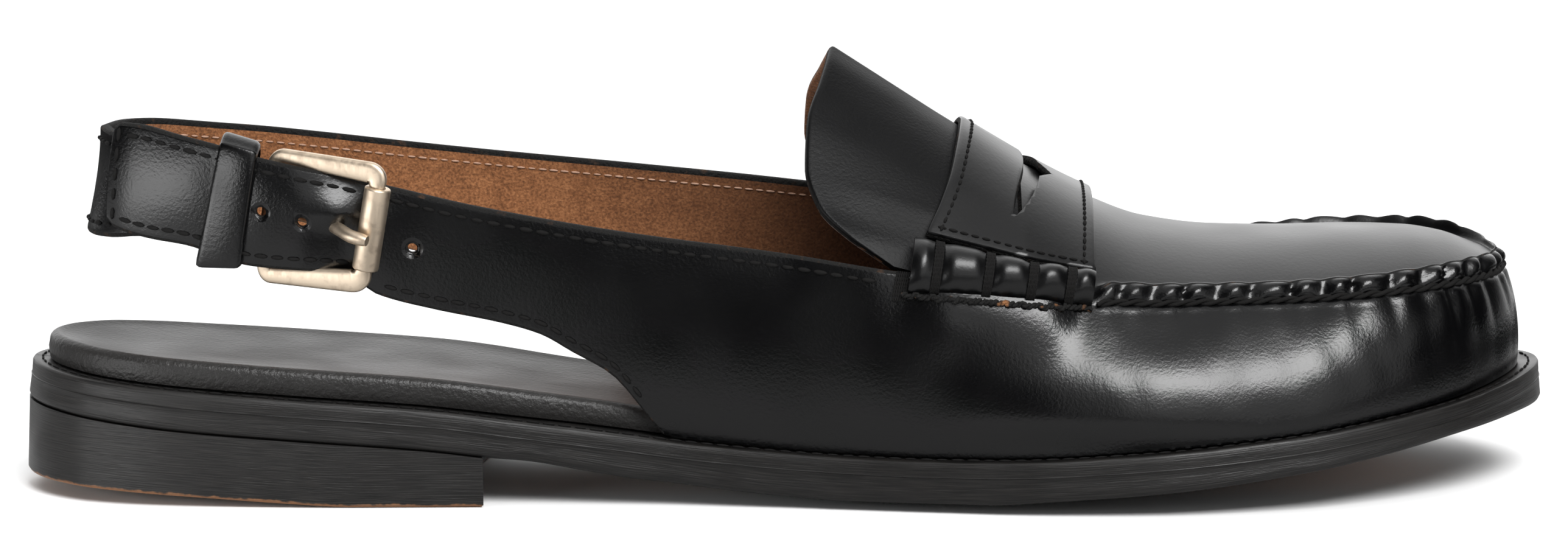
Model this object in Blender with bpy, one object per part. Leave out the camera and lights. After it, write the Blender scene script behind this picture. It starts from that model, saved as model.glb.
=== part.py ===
"""Slingback penny loafer for the right foot, built piece by piece on one sole outline.

Lengths are millimetres until a mesh is made, where MM turns them into metres.
+X runs to the toe, -Y is the outer side with the buckle, +Z is up, and the floor is z = 0.
A place along the shoe is "along", 0 at the back of the heel and 1 at the tip of the toe.
"""
import math

import bmesh
import bpy
import numpy as np

MM = 0.001
GAP = 0.3
SEAT_GAP = 0.45
MERGE_DISTANCE = 0.02
SHARP_ANGLE = 45.0
SEARCH_STEPS = 40
EDGE_REACH = 0.01
OUTER = -1
INNER = 1

# Driving sizes of the sole
SOLE_LENGTH = 290.0
MIDSOLE_THICKNESS = 3.0
MIDSOLE_STEP = 0.4
SOLE_EDGE_ROUND = 0.9
RIM_ROUND = 0.5
SOLE_STATIONS = 36
GROUND_SHARE = 0.3
GROUND_SHARES = (0.0, GROUND_SHARE, 0.65)
HEEL_FRONT = -57.0
HEEL_FLAT_BACK = -82.0
HEEL_BREAST_HOLLOW = 3.0
HEEL_BREAST_SKEW = 1.2
HEEL_DRAFT = 0.9
HEEL_DRAFT_END = 0.3
HEEL_TOP_DRAFT = 0.6
OUTSOLE_TOP_DRAFT = 0.85
HEEL_BACK_STEPS = 6
HEEL_COLUMNS = (-1.0, -0.67, -0.33, 0.0, 0.33, 0.67, 1.0)
CORE_BACK = -118.0
CORE_FRONT = 108.0
INSOLE_DISH = 1.2
INSOLE_ROUND = 1.8
INSOLE_SHOULDER = 0.3
INSOLE_BOWL_SHARE = 0.6
INSOLE_BOWL_DEPTH = 0.7

# Driving sizes of the upper and what lies on it
UPPER_THICKNESS = 2.0
RIDGE_HEIGHT = 2.2
RIDGE_WIDTH = 2.8
RIDGE_WIDTH_LIMIT = 0.3
RIDGE_FOOT = 6.0
RIDGE_FOOT_LIMIT = 0.55
RIDGE_ROW = 0.83
RIDGE_SHOULDER = 1.25
RIDGE_APRON_SHARE = 0.15
RIDGE_START = 59.5
RIDGE_FULL = 65.0
APRON_BACK = 45.0
APRON_ROUNDNESS = 2.2
TONGUE_THICKNESS = 1.8
TONGUE_JOINT = 0.8
TONGUE_TUCK = 3.1
TONGUE_TUCK_START = 0.78
SADDLE_THICKNESS = 1.4
SADDLE_GAP = 0.5
SADDLE_FRONT = 58.2
SADDLE_SHARE = 0.895
SLOT_MIDDLE = -2.5
SLOT_HALF_LENGTH = 23.3
SLOT_PLACE = 47.3
SLOT_BOW = 3.7
SLOT_WIDTH = 3.2
SLOT_END_WIDTH = 0.6
SLOT_END_SHARPNESS = 6
NOTCH_LENGTH = 2.2
NOTCH_HALF_WIDTH = 6.0
SLOT_CUT_HEIGHTS = (35.0, 90.0)
ROLL_BACK = 23.7
ROLL_FRONT = 57.8
ROLL_BULGE = 5.8
ROLL_BINDINGS = (0.14, 0.42, 0.66, 0.87)
ROLL_BINDING_DEPTH = 0.2
ROLL_BINDING_WIDTH = 0.05
ROLL_END_TAPER = 0.25
ROLL_END_SHARPNESS = 8
ROLL_GAP = 0.5
ROLL_WALL_RISE = 0.84
ROLL_APRON_SHARE = 0.92

# Driving sizes of the fastening
STRAP_TIP = 0.034
BACK_STRAP_END = 0.134
BUCKLE_WIRE = 2.4
BUCKLE_CORNER = 0.1
BUCKLE_CORNER_STEPS = 4
ROLLER_DIAMETER = 5.0
ROLLER_LENGTH = 16.0
ROLLER_SIDES = 16
PRONG_DIAMETER = 2.3
PRONG_HOLE_CLEARANCE = 0.9
KEEPER_THICKNESS = 1.4
KEEPER_GAP = 0.45
KEEPER_DROP = 0.8

# Half widths of the sole, measured from the line that joins heel and toe
SOLE_OUTLINE_COLUMNS = ("along", "outer", "inner")
SOLE_OUTLINE = (
    (0.00, 0.0, 0.0),
    (0.02, 15.8, 15.8),
    (0.05, 23.2, 23.2),
    (0.10, 27.8, 27.6),
    (0.18, 30.0, 29.0),
    (0.30, 31.0, 28.6),
    (0.40, 32.0, 26.6),
    (0.50, 36.0, 28.6),
    (0.60, 42.5, 37.2),
    (0.68, 47.3, 45.4),
    (0.75, 49.0, 49.0),
    (0.83, 46.0, 48.4),
    (0.90, 37.0, 43.4),
    (0.95, 25.5, 34.6),
    (0.98, 13.0, 24.4),
    (1.00, -7.0, 7.0),
)

# Heights of the sole: its ground face, the lift of that face's rim, and the ledge on top
SOLE_PROFILE_COLUMNS = ("x", "ground", "rim_lift", "ledge")
SOLE_PROFILE = (
    (-145.0, 17.3, 0.0, 24.8),
    (-134.0, 16.1, 0.0, 23.6),
    (-115.0, 14.2, 0.0, 21.8),
    (-90.0, 12.3, 0.0, 19.9),
    (-68.0, 10.6, 0.0, 18.2),
    (-57.0, 9.3, 0.0, 16.9),
    (-48.0, 8.2, 0.3, 15.7),
    (-40.0, 6.6, 0.5, 14.7),
    (-30.0, 4.7, 0.7, 13.4),
    (-20.0, 3.3, 1.0, 12.1),
    (-10.0, 1.9, 1.2, 11.2),
    (1.0, 0.7, 1.5, 10.4),
    (11.0, 0.0, 1.6, 9.95),
    (24.0, 0.0, 1.65, 9.7),
    (38.0, 0.0, 1.7, 9.85),
    (47.0, 0.7, 1.7, 10.2),
    (72.0, 2.9, 1.6, 12.0),
    (92.0, 5.4, 1.4, 13.8),
    (112.0, 8.6, 1.0, 16.0),
    (128.0, 11.4, 0.7, 18.0),
    (138.0, 12.6, 0.4, 19.5),
    (145.0, 13.2, 0.0, 20.7),
)

# The heel's base is flat near its breast and worn up a little towards the back
HEEL_BASE_COLUMNS = ("x", "base")
HEEL_BASE = (
    (-145.0, 3.2),
    (-130.0, 2.7),
    (-110.0, 1.7),
    (-95.0, 0.7),
    (HEEL_FLAT_BACK, 0.0),
    (HEEL_FRONT + 6.0, 0.0),
)

INSOLE_COLUMNS = ("along", "inset", "height")
INSOLE = (
    (0.00, 4.6, 5.0),
    (0.28, 4.8, 5.0),
    (0.38, 6.2, 4.6),
    (0.60, 6.0, 3.4),
    (0.90, 6.2, 3.0),
    (1.00, 7.6, 3.0),
)

# Wall of the upper from the feather edge to the top line: how far in from the sole's edge it
# starts, and how far its curve is pulled outwards low down and high up
WALL_COLUMNS = ("along", "inset", "low_pull", "low_rise", "high_pull", "high_drop")
WALL = (
    (0.00, 8.0, 0.0, 0.33, 0.0, 0.33),
    (0.30, 6.0, 0.5, 0.33, 0.2, 0.33),
    (0.42, 3.4, 3.0, 0.35, 1.0, 0.30),
    (0.58, 3.0, 2.5, 0.40, 2.5, 0.22),
    (0.70, 3.0, 2.0, 0.45, 5.0, 0.15),
    (0.82, 3.0, 1.5, 0.45, 6.5, 0.15),
    (0.92, 3.4, 1.2, 0.45, 5.0, 0.15),
    (1.00, 4.5, 1.0, 0.45, 2.5, 0.15),
)

# Top line: strap and collar up to the throat, then the apron seam round the toe
TOP_LINE_COLUMNS = ("along", "x", "outer_y", "outer_z", "inner_y", "inner_z")
TOP_LINE = (
    (0.00, -130.0, 0.0, 69.0, 0.0, 69.0),
    (0.02, -127.6, 10.5, 72.0, 10.5, 68.5),
    (0.05, -121.5, 17.8, 72.1, 17.8, 67.8),
    (0.10, -110.5, 23.3, 69.8, 23.3, 66.2),
    (0.15, -99.5, 25.8, 66.9, 25.8, 64.9),
    (0.20, -86.5, 27.4, 64.0, 27.4, 63.2),
    (0.24, -75.4, 28.5, 61.2, 28.5, 61.7),
    (0.30, -58.0, 29.4, 57.0, 29.4, 59.6),
    (0.40, -29.0, 31.5, 52.0, 31.6, 56.3),
    (0.50, 0.0, 35.2, 48.5, 35.2, 52.6),
    (0.57, 20.0, 38.8, 45.7, 38.5, 49.4),
    (0.64, 40.0, 37.4, 42.9, 38.5, 45.0),
    (0.70, 58.0, 34.0, 40.3, 36.5, 41.2),
    (0.76, 74.0, 31.2, 39.1, 35.0, 39.8),
    (0.82, 91.0, 29.0, 39.0, 34.0, 39.5),
    (0.88, 107.0, 27.2, 39.6, 33.0, 40.2),
    (0.93, 119.5, 22.0, 40.3, 30.0, 40.7),
    (0.97, 129.5, 12.5, 40.6, 24.0, 40.9),
    (0.99, 134.2, 3.5, 40.7, 17.0, 40.9),
    (1.00, 136.5, -7.0, 40.8, 7.0, 40.8),
)

# Lower edge of strap and quarters, down to where the quarter meets the ledge
LOWER_EDGE_COLUMNS = ("along", "outer", "inner")
LOWER_EDGE = (
    (0.000, 53.2, 48.8),
    (0.034, 53.0, 48.6),
    (0.050, 52.3, 48.2),
    (0.100, 49.2, 46.4),
    (0.150, 45.5, 44.8),
    (0.193, 44.5, 43.4),
    (0.214, 43.9, 42.6),
    (0.235, 39.8, 41.4),
    (0.272, 36.9, 38.8),
    (0.317, 34.2, 35.8),
    (0.341, 32.2, 33.4),
    (0.362, 28.8, 29.8),
    (0.386, 24.9, 25.5),
    (0.397, 21.6, 22.0),
    (0.408, 17.3, 17.5),
    (0.420, 12.6, 12.6),
)

# The back strap where it runs on under the strap's free end, as far as the buckle's bar
BACK_STRAP_COLUMNS = ("along", "top", "low")
BACK_STRAP = (
    (0.000, 69.0, 48.8),
    (0.030, 69.4, 49.4),
    (0.060, 69.4, 50.2),
    (0.100, 68.8, 50.4),
    (0.150, 66.4, 48.4),
)

# How far the strap's free end stands off the surface of the foot
STRAP_LIFT_COLUMNS = ("along", "lift")
STRAP_LIFT = (
    (0.034, 2.35),
    (0.120, 2.40),
    (0.145, 2.80),
    (0.180, 2.80),
    (0.193, 2.10),
    (0.205, 0.90),
    (0.214, 0.20),
    (0.221, 0.00),
)

# Height of the apron and tongue along their middle
CROWN_COLUMNS = ("x", "height")
CROWN = (
    (9.4, 83.1),
    (33.2, 67.4),
    (45.0, 59.6),
    (59.4, 52.2),
    (69.0, 48.6),
    (82.0, 46.8),
    (95.0, 46.5),
    (107.0, 46.6),
    (118.6, 46.2),
    (126.0, 44.9),
    (131.0, 43.0),
    (136.5, 40.8),
)

# Free edge of the tongue from its peak to the throat corner, and the saddle's rear edge over it
TONGUE_EDGE_COLUMNS = ("share", "x", "y", "z", "saddle_x")
TONGUE_EDGE = (
    (0.00, 9.4, 0.0, 83.1, 33.2),
    (0.20, 8.8, 5.0, 81.5, 32.9),
    (0.40, 7.3, 11.5, 77.9, 32.2),
    (0.60, 4.9, 19.0, 71.9, 31.0),
    (0.75, 4.3, 25.8, 63.6, 29.0),
    (0.87, 6.4, 30.4, 57.2, 26.9),
    (0.95, 12.2, 33.9, 51.5, 25.5),
    (1.00, 20.0, 35.3, 46.0, 25.0),
)

# Corners of the buckle's frame and the path of its prong, by x, height and lift off the foot
BUCKLE_CORNERS = (
    (-95.6, 67.2, -0.7),
    (-75.3, 64.1, 3.3),
    (-79.1, 42.3, 3.3),
    (-98.6, 43.0, -0.7),
)
PRONG_PATH = (
    (-94.7, 56.2, -0.8),
    (-90.0, 54.9, -0.7),
    (-86.6, 53.9, 0.2),
    (-83.4, 53.0, 3.6),
    (-80.4, 52.1, 6.9),
    (-78.6, 51.7, 7.2),
)

# The keeper's back and front rims, by their x at the top and at the bottom
KEEPER_RIMS = (
    (-105.2, -110.2),
    (-98.4, -101.9),
)

# Section of the keeper: share of its height, which side of the strap, and share of its clearance
KEEPER_SECTION = (
    (0.00, "outer", 0.5),
    (0.06, "outer", 1.0),
    (0.50, "outer", 1.0),
    (0.94, "outer", 1.0),
    (1.00, "outer", 0.5),
    (1.00, "inner", 0.5),
    (0.94, "inner", 1.0),
    (0.50, "inner", 1.0),
    (0.06, "inner", 1.0),
    (0.00, "inner", 0.5),
)

# Stations of the upper: start x, end x and number of steps of each stretch
STATIONS = (
    (-145.0, -130.5, 5),
    (-130.5, -70.0, 15),
    (-70.0, -42.0, 4),
    (-42.0, -20.0, 7),
    (-20.0, 21.0, 5),
    (21.0, 45.0, 4),
    (45.0, 63.0, 4),
    (63.0, 108.0, 6),
    (108.0, 145.0, 8),
)
WALL_ROWS = (0.0, 0.14, 0.32, 0.52, 0.70, 0.83, 0.91, 1.0)

for leftover in list(bpy.data.objects):
    bpy.data.objects.remove(leftover, do_unlink=True)


def new_collection(name):
    collection = bpy.data.collections.new(name)
    bpy.context.scene.collection.children.link(collection)
    return collection


SHOE = new_collection("slingback_penny_loafer")
CUTTERS = new_collection("cutters")


def spline(places, values):
    """Smooth curve through a table's rows that never swings past them."""
    places = np.asarray(places, float)
    values = np.asarray(values, float)
    step = np.diff(places)
    slope = np.diff(values) / step
    same_way = slope[:-1] * slope[1:] > 0.0
    total = np.where(same_way, slope[:-1] + slope[1:], 1.0)
    inside = np.where(same_way, 2.0 * slope[:-1] * slope[1:] / total, 0.0)
    tangent = np.concatenate([slope[:1], inside, slope[-1:]])

    def value(place):
        place = min(max(float(place), places[0]), places[-1])
        row = min(int(np.searchsorted(places, place, side="right")) - 1, len(step) - 1)
        part = (place - places[row]) / step[row]
        rest = 1.0 - part
        level = values[row] * rest * rest * (1.0 + 2.0 * part)
        level += values[row + 1] * part * part * (3.0 - 2.0 * part)
        bend = tangent[row] * rest * rest * part - tangent[row + 1] * part * part * rest
        return level + bend * step[row]

    return value


def angle_of(along):
    """Angle that spreads places along the shoe evenly round its two ends."""
    return math.acos(min(max(1.0 - 2.0 * along, -1.0), 1.0))


def angle_at_x(x):
    return angle_of(x / SOLE_LENGTH + 0.5)


def curves(columns, table, place_of=float):
    """One smooth curve for each named column of a table, read at the first column's places."""
    rows = np.array(table, float)
    places = [place_of(place) for place in rows[:, 0]]
    return {name: spline(places, rows[:, number]) for number, name in enumerate(columns) if number}


OUTLINE = curves(SOLE_OUTLINE_COLUMNS, SOLE_OUTLINE, angle_of)
PROFILE = curves(SOLE_PROFILE_COLUMNS, SOLE_PROFILE)
HEEL_CURVE = curves(HEEL_BASE_COLUMNS, HEEL_BASE)
INSOLE_CURVE = curves(INSOLE_COLUMNS, INSOLE, angle_of)
WALL_CURVE = curves(WALL_COLUMNS, WALL, angle_of)
TOP = curves(TOP_LINE_COLUMNS, TOP_LINE, angle_of)
LOWER = curves(LOWER_EDGE_COLUMNS, LOWER_EDGE, angle_of)
UNDER_STRAP = curves(BACK_STRAP_COLUMNS, BACK_STRAP, angle_of)
LIFT = curves(STRAP_LIFT_COLUMNS, STRAP_LIFT, angle_of)
CROWN_CURVE = curves(CROWN_COLUMNS, CROWN)
TONGUE_CURVE = curves(TONGUE_EDGE_COLUMNS, TONGUE_EDGE)
SIDE_NAME = {OUTER: "outer", INNER: "inner"}


def unit(vector):
    return vector / np.linalg.norm(vector)


def paint(name, colour, roughness, metallic=0.0):
    material = bpy.data.materials.new(name)
    material.use_nodes = True
    shader = material.node_tree.nodes["Principled BSDF"]
    shader.inputs["Base Color"].default_value = (*colour, 1.0)
    shader.inputs["Roughness"].default_value = roughness
    shader.inputs["Metallic"].default_value = metallic
    return material


def close_mesh(mesh):
    """Merge a closed mesh's doubles, turn its faces outwards and shade it smooth."""
    work = bmesh.new()
    work.from_mesh(mesh)
    bmesh.ops.remove_doubles(work, verts=work.verts, dist=MERGE_DISTANCE * MM)
    bmesh.ops.triangulate(work, faces=work.faces)
    bmesh.ops.recalc_face_normals(work, faces=work.faces)
    if work.calc_volume(signed=True) < 0.0:
        bmesh.ops.reverse_faces(work, faces=work.faces)
    work.to_mesh(mesh)
    work.free()
    mesh.shade_smooth()
    mesh.set_sharp_from_angle(angle=math.radians(SHARP_ANGLE))


def link_object(name, mesh, material, collection):
    mesh.materials.clear()
    mesh.materials.append(material)
    piece = bpy.data.objects.new(name, mesh)
    (collection or SHOE).objects.link(piece)
    return piece


def add_object(name, points, faces, material, collection=None):
    """Closed object from points in millimetres and the faces between them."""
    mesh = bpy.data.meshes.new(name)
    mesh.from_pydata([tuple(MM * np.asarray(point)) for point in points], [], faces)
    close_mesh(mesh)
    return link_object(name, mesh, material, collection)


def grid_faces(rows, columns, first=0):
    """Quads of a grid of points that is stored row by row."""
    faces = []
    for row in range(rows - 1):
        for column in range(columns - 1):
            corner = first + row * columns + column
            faces.append((corner, corner + columns, corner + columns + 1, corner + 1))
    return faces


def tidy_faces(faces):
    """Faces without repeated corners, as where a grid runs together in a point."""
    kept = []
    for face in faces:
        corners = tuple(dict.fromkeys(face))
        if len(corners) > 2:
            kept.append(corners)
    return kept


def shell(name, faces, outside, inside, material):
    """Closed wall between two sheets of points that share one set of faces."""
    faces = tidy_faces(faces)
    count = len(outside)
    borders = {}
    for face in faces:
        for start, end in zip(face, face[1:] + face[:1]):
            if (end, start) in borders:
                del borders[(end, start)]
            else:
                borders[(start, end)] = True
    back = [tuple(count + corner for corner in reversed(face)) for face in faces]
    rim = [(end, start, count + start, count + end) for start, end in borders]
    return add_object(name, list(outside) + list(inside), faces + back + rim, material)


def loft(name, loops, material, ends="cap", collection=None):
    """Solid through closed loops of points; the ends are capped, collapsed or joined in a ring."""
    count = len(loops[0])
    points = [point for loop in loops for point in loop]
    faces = []
    spans = len(loops) if ends == "ring" else len(loops) - 1
    for span in range(spans):
        here = span * count
        there = (span + 1) % len(loops) * count
        for corner in range(count):
            after = (corner + 1) % count
            faces.append((here + corner, here + after, there + after, there + corner))
    if ends == "cap":
        faces.append(tuple(range(count)))
        faces.append(tuple(range(len(points) - count, len(points))))
    return add_object(name, points, faces, material, collection)


def sheet_normals(points, faces):
    """Averaged direction that each point of a sheet faces."""
    points = np.asarray(points, float)
    normals = np.zeros_like(points)
    for face in tidy_faces(faces):
        corners = points[list(face)]
        middle = corners.mean(axis=0)
        area = np.zeros(3)
        for start, end in zip(corners, np.roll(corners, -1, axis=0)):
            area += np.cross(start - middle, end - middle)
        normals[list(face)] += area
    return normals / np.linalg.norm(normals, axis=1)[:, None]


def sole_edge(angle, side):
    x = -0.5 * SOLE_LENGTH * math.cos(angle)
    return np.array([x, side * OUTLINE[SIDE_NAME[side]](angle)])


def outward(angle, side):
    """Plan direction that points straight out of the sole's edge."""
    if angle <= 0.0:
        return np.array([-1.0, 0.0])
    if angle >= math.pi:
        return np.array([1.0, 0.0])
    reach = min(EDGE_REACH, angle, math.pi - angle)
    run = sole_edge(angle + reach, side) - sole_edge(angle - reach, side)
    return unit(np.array([-side * run[1], side * run[0]]))


def inset_edge(angle, side, inset):
    return sole_edge(angle, side) - inset * outward(angle, side)


SOLE_ANGLES = [math.pi * number / SOLE_STATIONS for number in range(SOLE_STATIONS + 1)]
SOLE_LOOP = [(angle, OUTER) for angle in SOLE_ANGLES]
SOLE_LOOP += [(angle, INNER) for angle in reversed(SOLE_ANGLES[1:-1])]
CORE_ANGLES = (angle_at_x(CORE_BACK), angle_at_x(CORE_FRONT))


def core_point(angle):
    """Nearest point on the middle line of the sole, which stops short of heel and toe."""
    angle = min(max(angle, CORE_ANGLES[0]), CORE_ANGLES[1])
    return 0.5 * (sole_edge(angle, OUTER) + sole_edge(angle, INNER))


def heel_draft(angle):
    """How far the sole's edge leans in above the heel's base, most at the back."""
    part = min(angle / angle_of(HEEL_DRAFT_END), 1.0)
    return 0.5 * HEEL_DRAFT * (1.0 + math.cos(math.pi * part))


def sole_ring(height, share=1.0, inset=0.0, inset_curve=None, draft=0.0):
    """Loop round the sole, drawn in towards its middle line by a share and from its edge by an inset."""
    ring = []
    for angle, side in SOLE_LOOP:
        depth = inset + draft * heel_draft(angle) + (inset_curve(angle) if inset_curve else 0.0)
        rim = inset_edge(angle, side, depth)
        core = core_point(angle)
        x, y = core + share * (rim - core)
        ring.append((x, y, height(angle, x, share)))
    return ring


def ledge(x):
    return PROFILE["ledge"](x)


def ground(x, share):
    """Ground face of the outsole: flat across its middle and rounded up to its rim."""
    rounding = max(0.0, (share - GROUND_SHARE) / (1.0 - GROUND_SHARE))
    return PROFILE["ground"](x) + PROFILE["rim_lift"](x) * rounding ** 2


def make_outsole(material):
    def base(angle, x, share):
        return ground(x, share)

    def rim(angle, x, share):
        return ground(x, share) + SOLE_EDGE_ROUND

    def top(angle, x, share):
        return ledge(x) - MIDSOLE_THICKNESS - GAP

    rings = [sole_ring(base, share) for share in GROUND_SHARES]
    rings.append(sole_ring(base, 1.0, SOLE_EDGE_ROUND, draft=HEEL_TOP_DRAFT))
    rings.append(sole_ring(rim, draft=HEEL_TOP_DRAFT))
    rings.append(sole_ring(top, draft=OUTSOLE_TOP_DRAFT))
    rings.append(sole_ring(top, 0.0))
    return loft("outsole", rings, material, ends="merge")


def make_midsole(material):
    def level(drop):
        return lambda angle, x, share: ledge(x) - drop

    rings = [
        sole_ring(level(MIDSOLE_THICKNESS), 0.0),
        sole_ring(level(MIDSOLE_THICKNESS), 1.0, MIDSOLE_STEP, draft=OUTSOLE_TOP_DRAFT),
        sole_ring(level(RIM_ROUND), 1.0, MIDSOLE_STEP, draft=1.0),
        sole_ring(level(0.0), 1.0, MIDSOLE_STEP + RIM_ROUND, draft=1.0),
        sole_ring(level(0.0), 0.0),
    ]
    return loft("midsole", rings, material, ends="merge")


def make_insole(material):
    """Covered footbed with a rounded edge and a shallow dish."""
    def level(part, drop=0.0):
        return lambda angle, x, share: ledge(x) + SEAT_GAP + part * INSOLE_CURVE["height"](angle) - drop

    inset = INSOLE_CURVE["inset"]
    shoulder = INSOLE_SHOULDER * INSOLE_ROUND
    rings = [
        sole_ring(level(0.0), 0.0),
        sole_ring(level(0.0), 1.0, 0.0, inset),
        sole_ring(level(1.0, INSOLE_ROUND), 1.0, 0.0, inset),
        sole_ring(level(1.0, shoulder), 1.0, shoulder, inset),
        sole_ring(level(1.0), 1.0, INSOLE_ROUND, inset),
        sole_ring(level(1.0, INSOLE_BOWL_DEPTH * INSOLE_DISH), INSOLE_BOWL_SHARE),
        sole_ring(level(1.0, INSOLE_DISH), 0.0),
    ]
    return loft("insole", rings, material, ends="merge")


def make_heel(material):
    """Block under the heel seat, cut off in front by a slightly hollow breast."""
    flat_back = angle_at_x(HEEL_FLAT_BACK)
    front = angle_at_x(HEEL_FRONT)
    places = [flat_back * number / HEEL_BACK_STEPS for number in range(HEEL_BACK_STEPS)]
    places += [flat_back, 0.5 * (flat_back + front), front]
    top = []
    base = []
    for angle in places:
        for points, draft in ((top, HEEL_TOP_DRAFT), (base, 0.0)):
            outer_edge = inset_edge(angle, OUTER, draft * heel_draft(angle))
            inner_edge = inset_edge(angle, INNER, draft * heel_draft(angle))
            for share in HEEL_COLUMNS:
                x, y = 0.5 * (outer_edge + inner_edge) + 0.5 * share * (inner_edge - outer_edge)
                if angle == front:
                    x += HEEL_BREAST_SKEW * max(share, 0.0) - HEEL_BREAST_HOLLOW * (1.0 - share * share)
                height = HEEL_CURVE["base"](x) if points is base else PROFILE["ground"](x) - GAP
                points.append((x, y, height))
    return shell("heel", grid_faces(len(places), len(HEEL_COLUMNS)), top, base, material)


def top_point(angle, side):
    name = SIDE_NAME[side]
    return np.array([TOP["x"](angle), side * TOP[name + "_y"](angle), TOP[name + "_z"](angle)])


def wall(angle, side, rise):
    """Point on the outside of the foot, from the feather edge (rise 0) to the top line (rise 1)."""
    start = inset_edge(angle, side, WALL_CURVE["inset"](angle))
    foot = np.array([*start, ledge(start[0]) + SEAT_GAP])
    head = top_point(angle, side)
    out = np.array([*outward(angle, side), 0.0])
    up = np.array([0.0, 0.0, head[2] - foot[2]])
    low = foot + WALL_CURVE["low_pull"](angle) * out + WALL_CURVE["low_rise"](angle) * up
    high = head + WALL_CURVE["high_pull"](angle) * out - WALL_CURVE["high_drop"](angle) * up
    rest = 1.0 - rise
    point = rest ** 3 * foot + 3.0 * rest * rest * rise * low
    return point + 3.0 * rest * rise * rise * high + rise ** 3 * head


def rise_at(angle, side, height):
    """How far up the wall a height lies."""
    rises = np.linspace(0.0, 1.0, SEARCH_STEPS)
    heights = [wall(angle, side, rise)[2] for rise in rises]
    return float(np.interp(height, heights, rises))


def on_wall(x, height, lift):
    """Point on the outer side of the foot at a given x and height, lifted straight out."""
    low = 0.0
    high = 0.5 * math.pi
    for _ in range(SEARCH_STEPS):
        angle = 0.5 * (low + high)
        if wall(angle, OUTER, rise_at(angle, OUTER, height))[0] < x:
            low = angle
        else:
            high = angle
    out = np.array([*outward(angle, OUTER), 0.0])
    point = wall(angle, OUTER, rise_at(angle, OUTER, height)) + lift * out
    point[2] = height
    return point


def crown(x):
    return CROWN_CURVE["height"](x)


def apron(angle, share):
    """Top of the forefoot between the seams: share -1 on the outer seam, 0 midway, 1 on the inner."""
    outer_seam = top_point(angle, OUTER)
    inner_seam = top_point(angle, INNER)
    point = 0.5 * (outer_seam + inner_seam) + 0.5 * share * (inner_seam - outer_seam)
    arch = crown(point[0]) - 0.5 * (outer_seam[2] + inner_seam[2])
    point[2] += arch * (1.0 - abs(share) ** APRON_ROUNDNESS)
    return point


def angle_of_seam(x):
    """Angle at which the top line reaches a given x."""
    low = 0.0
    high = math.pi
    for _ in range(SEARCH_STEPS):
        middle = 0.5 * (low + high)
        if TOP["x"](middle) < x:
            low = middle
        else:
            high = middle
    return low


APRON_ANGLE = angle_of_seam(APRON_BACK)


def tongue_edge(share):
    place = abs(share)
    side = math.copysign(1.0, share)
    return np.array([TONGUE_CURVE["x"](place), side * TONGUE_CURVE["y"](place), TONGUE_CURVE["z"](place)])


def instep(x, share):
    """Top of the foot at a given x: the apron in front, straight lines to the tongue's edge behind."""
    if x >= APRON_BACK:
        return apron(angle_of_seam(x), share)
    front = apron(APRON_ANGLE, share)
    edge = tongue_edge(share)
    return front + (edge - front) * (APRON_BACK - x) / (APRON_BACK - edge[0])


def upper_angles():
    angles = []
    for start, end, steps in STATIONS:
        first = angle_at_x(start)
        last = angle_at_x(end)
        for number in range(steps):
            angles.append(first + (last - first) * number / steps)
    angles.append(math.pi)
    for special in (angle_of(STRAP_TIP), angle_of(BACK_STRAP_END), APRON_ANGLE):
        nearest = min(range(len(angles)), key=lambda number: abs(angles[number] - special))
        angles[nearest] = special
    return angles


def apron_shares(angle):
    """Places across the apron, close together where the raised seam drops to its surface."""
    half = max(0.5 * np.linalg.norm(top_point(angle, INNER) - top_point(angle, OUTER)), 0.1)
    ridge = min(RIDGE_WIDTH / half, RIDGE_WIDTH_LIMIT)
    foot = min(RIDGE_FOOT / half, RIDGE_FOOT_LIMIT)
    middle = np.linspace(foot - 1.0, 1.0 - foot, 11)
    return [-1.0, ridge - 1.0, *middle, 1.0 - ridge, 1.0]


def ridge_amount(angle):
    """Height of the raised seam, which starts where the rolls end."""
    part = (TOP["x"](angle) - RIDGE_START) / (RIDGE_FULL - RIDGE_START)
    return RIDGE_HEIGHT * min(max(part, 0.0), 1.0)


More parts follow.
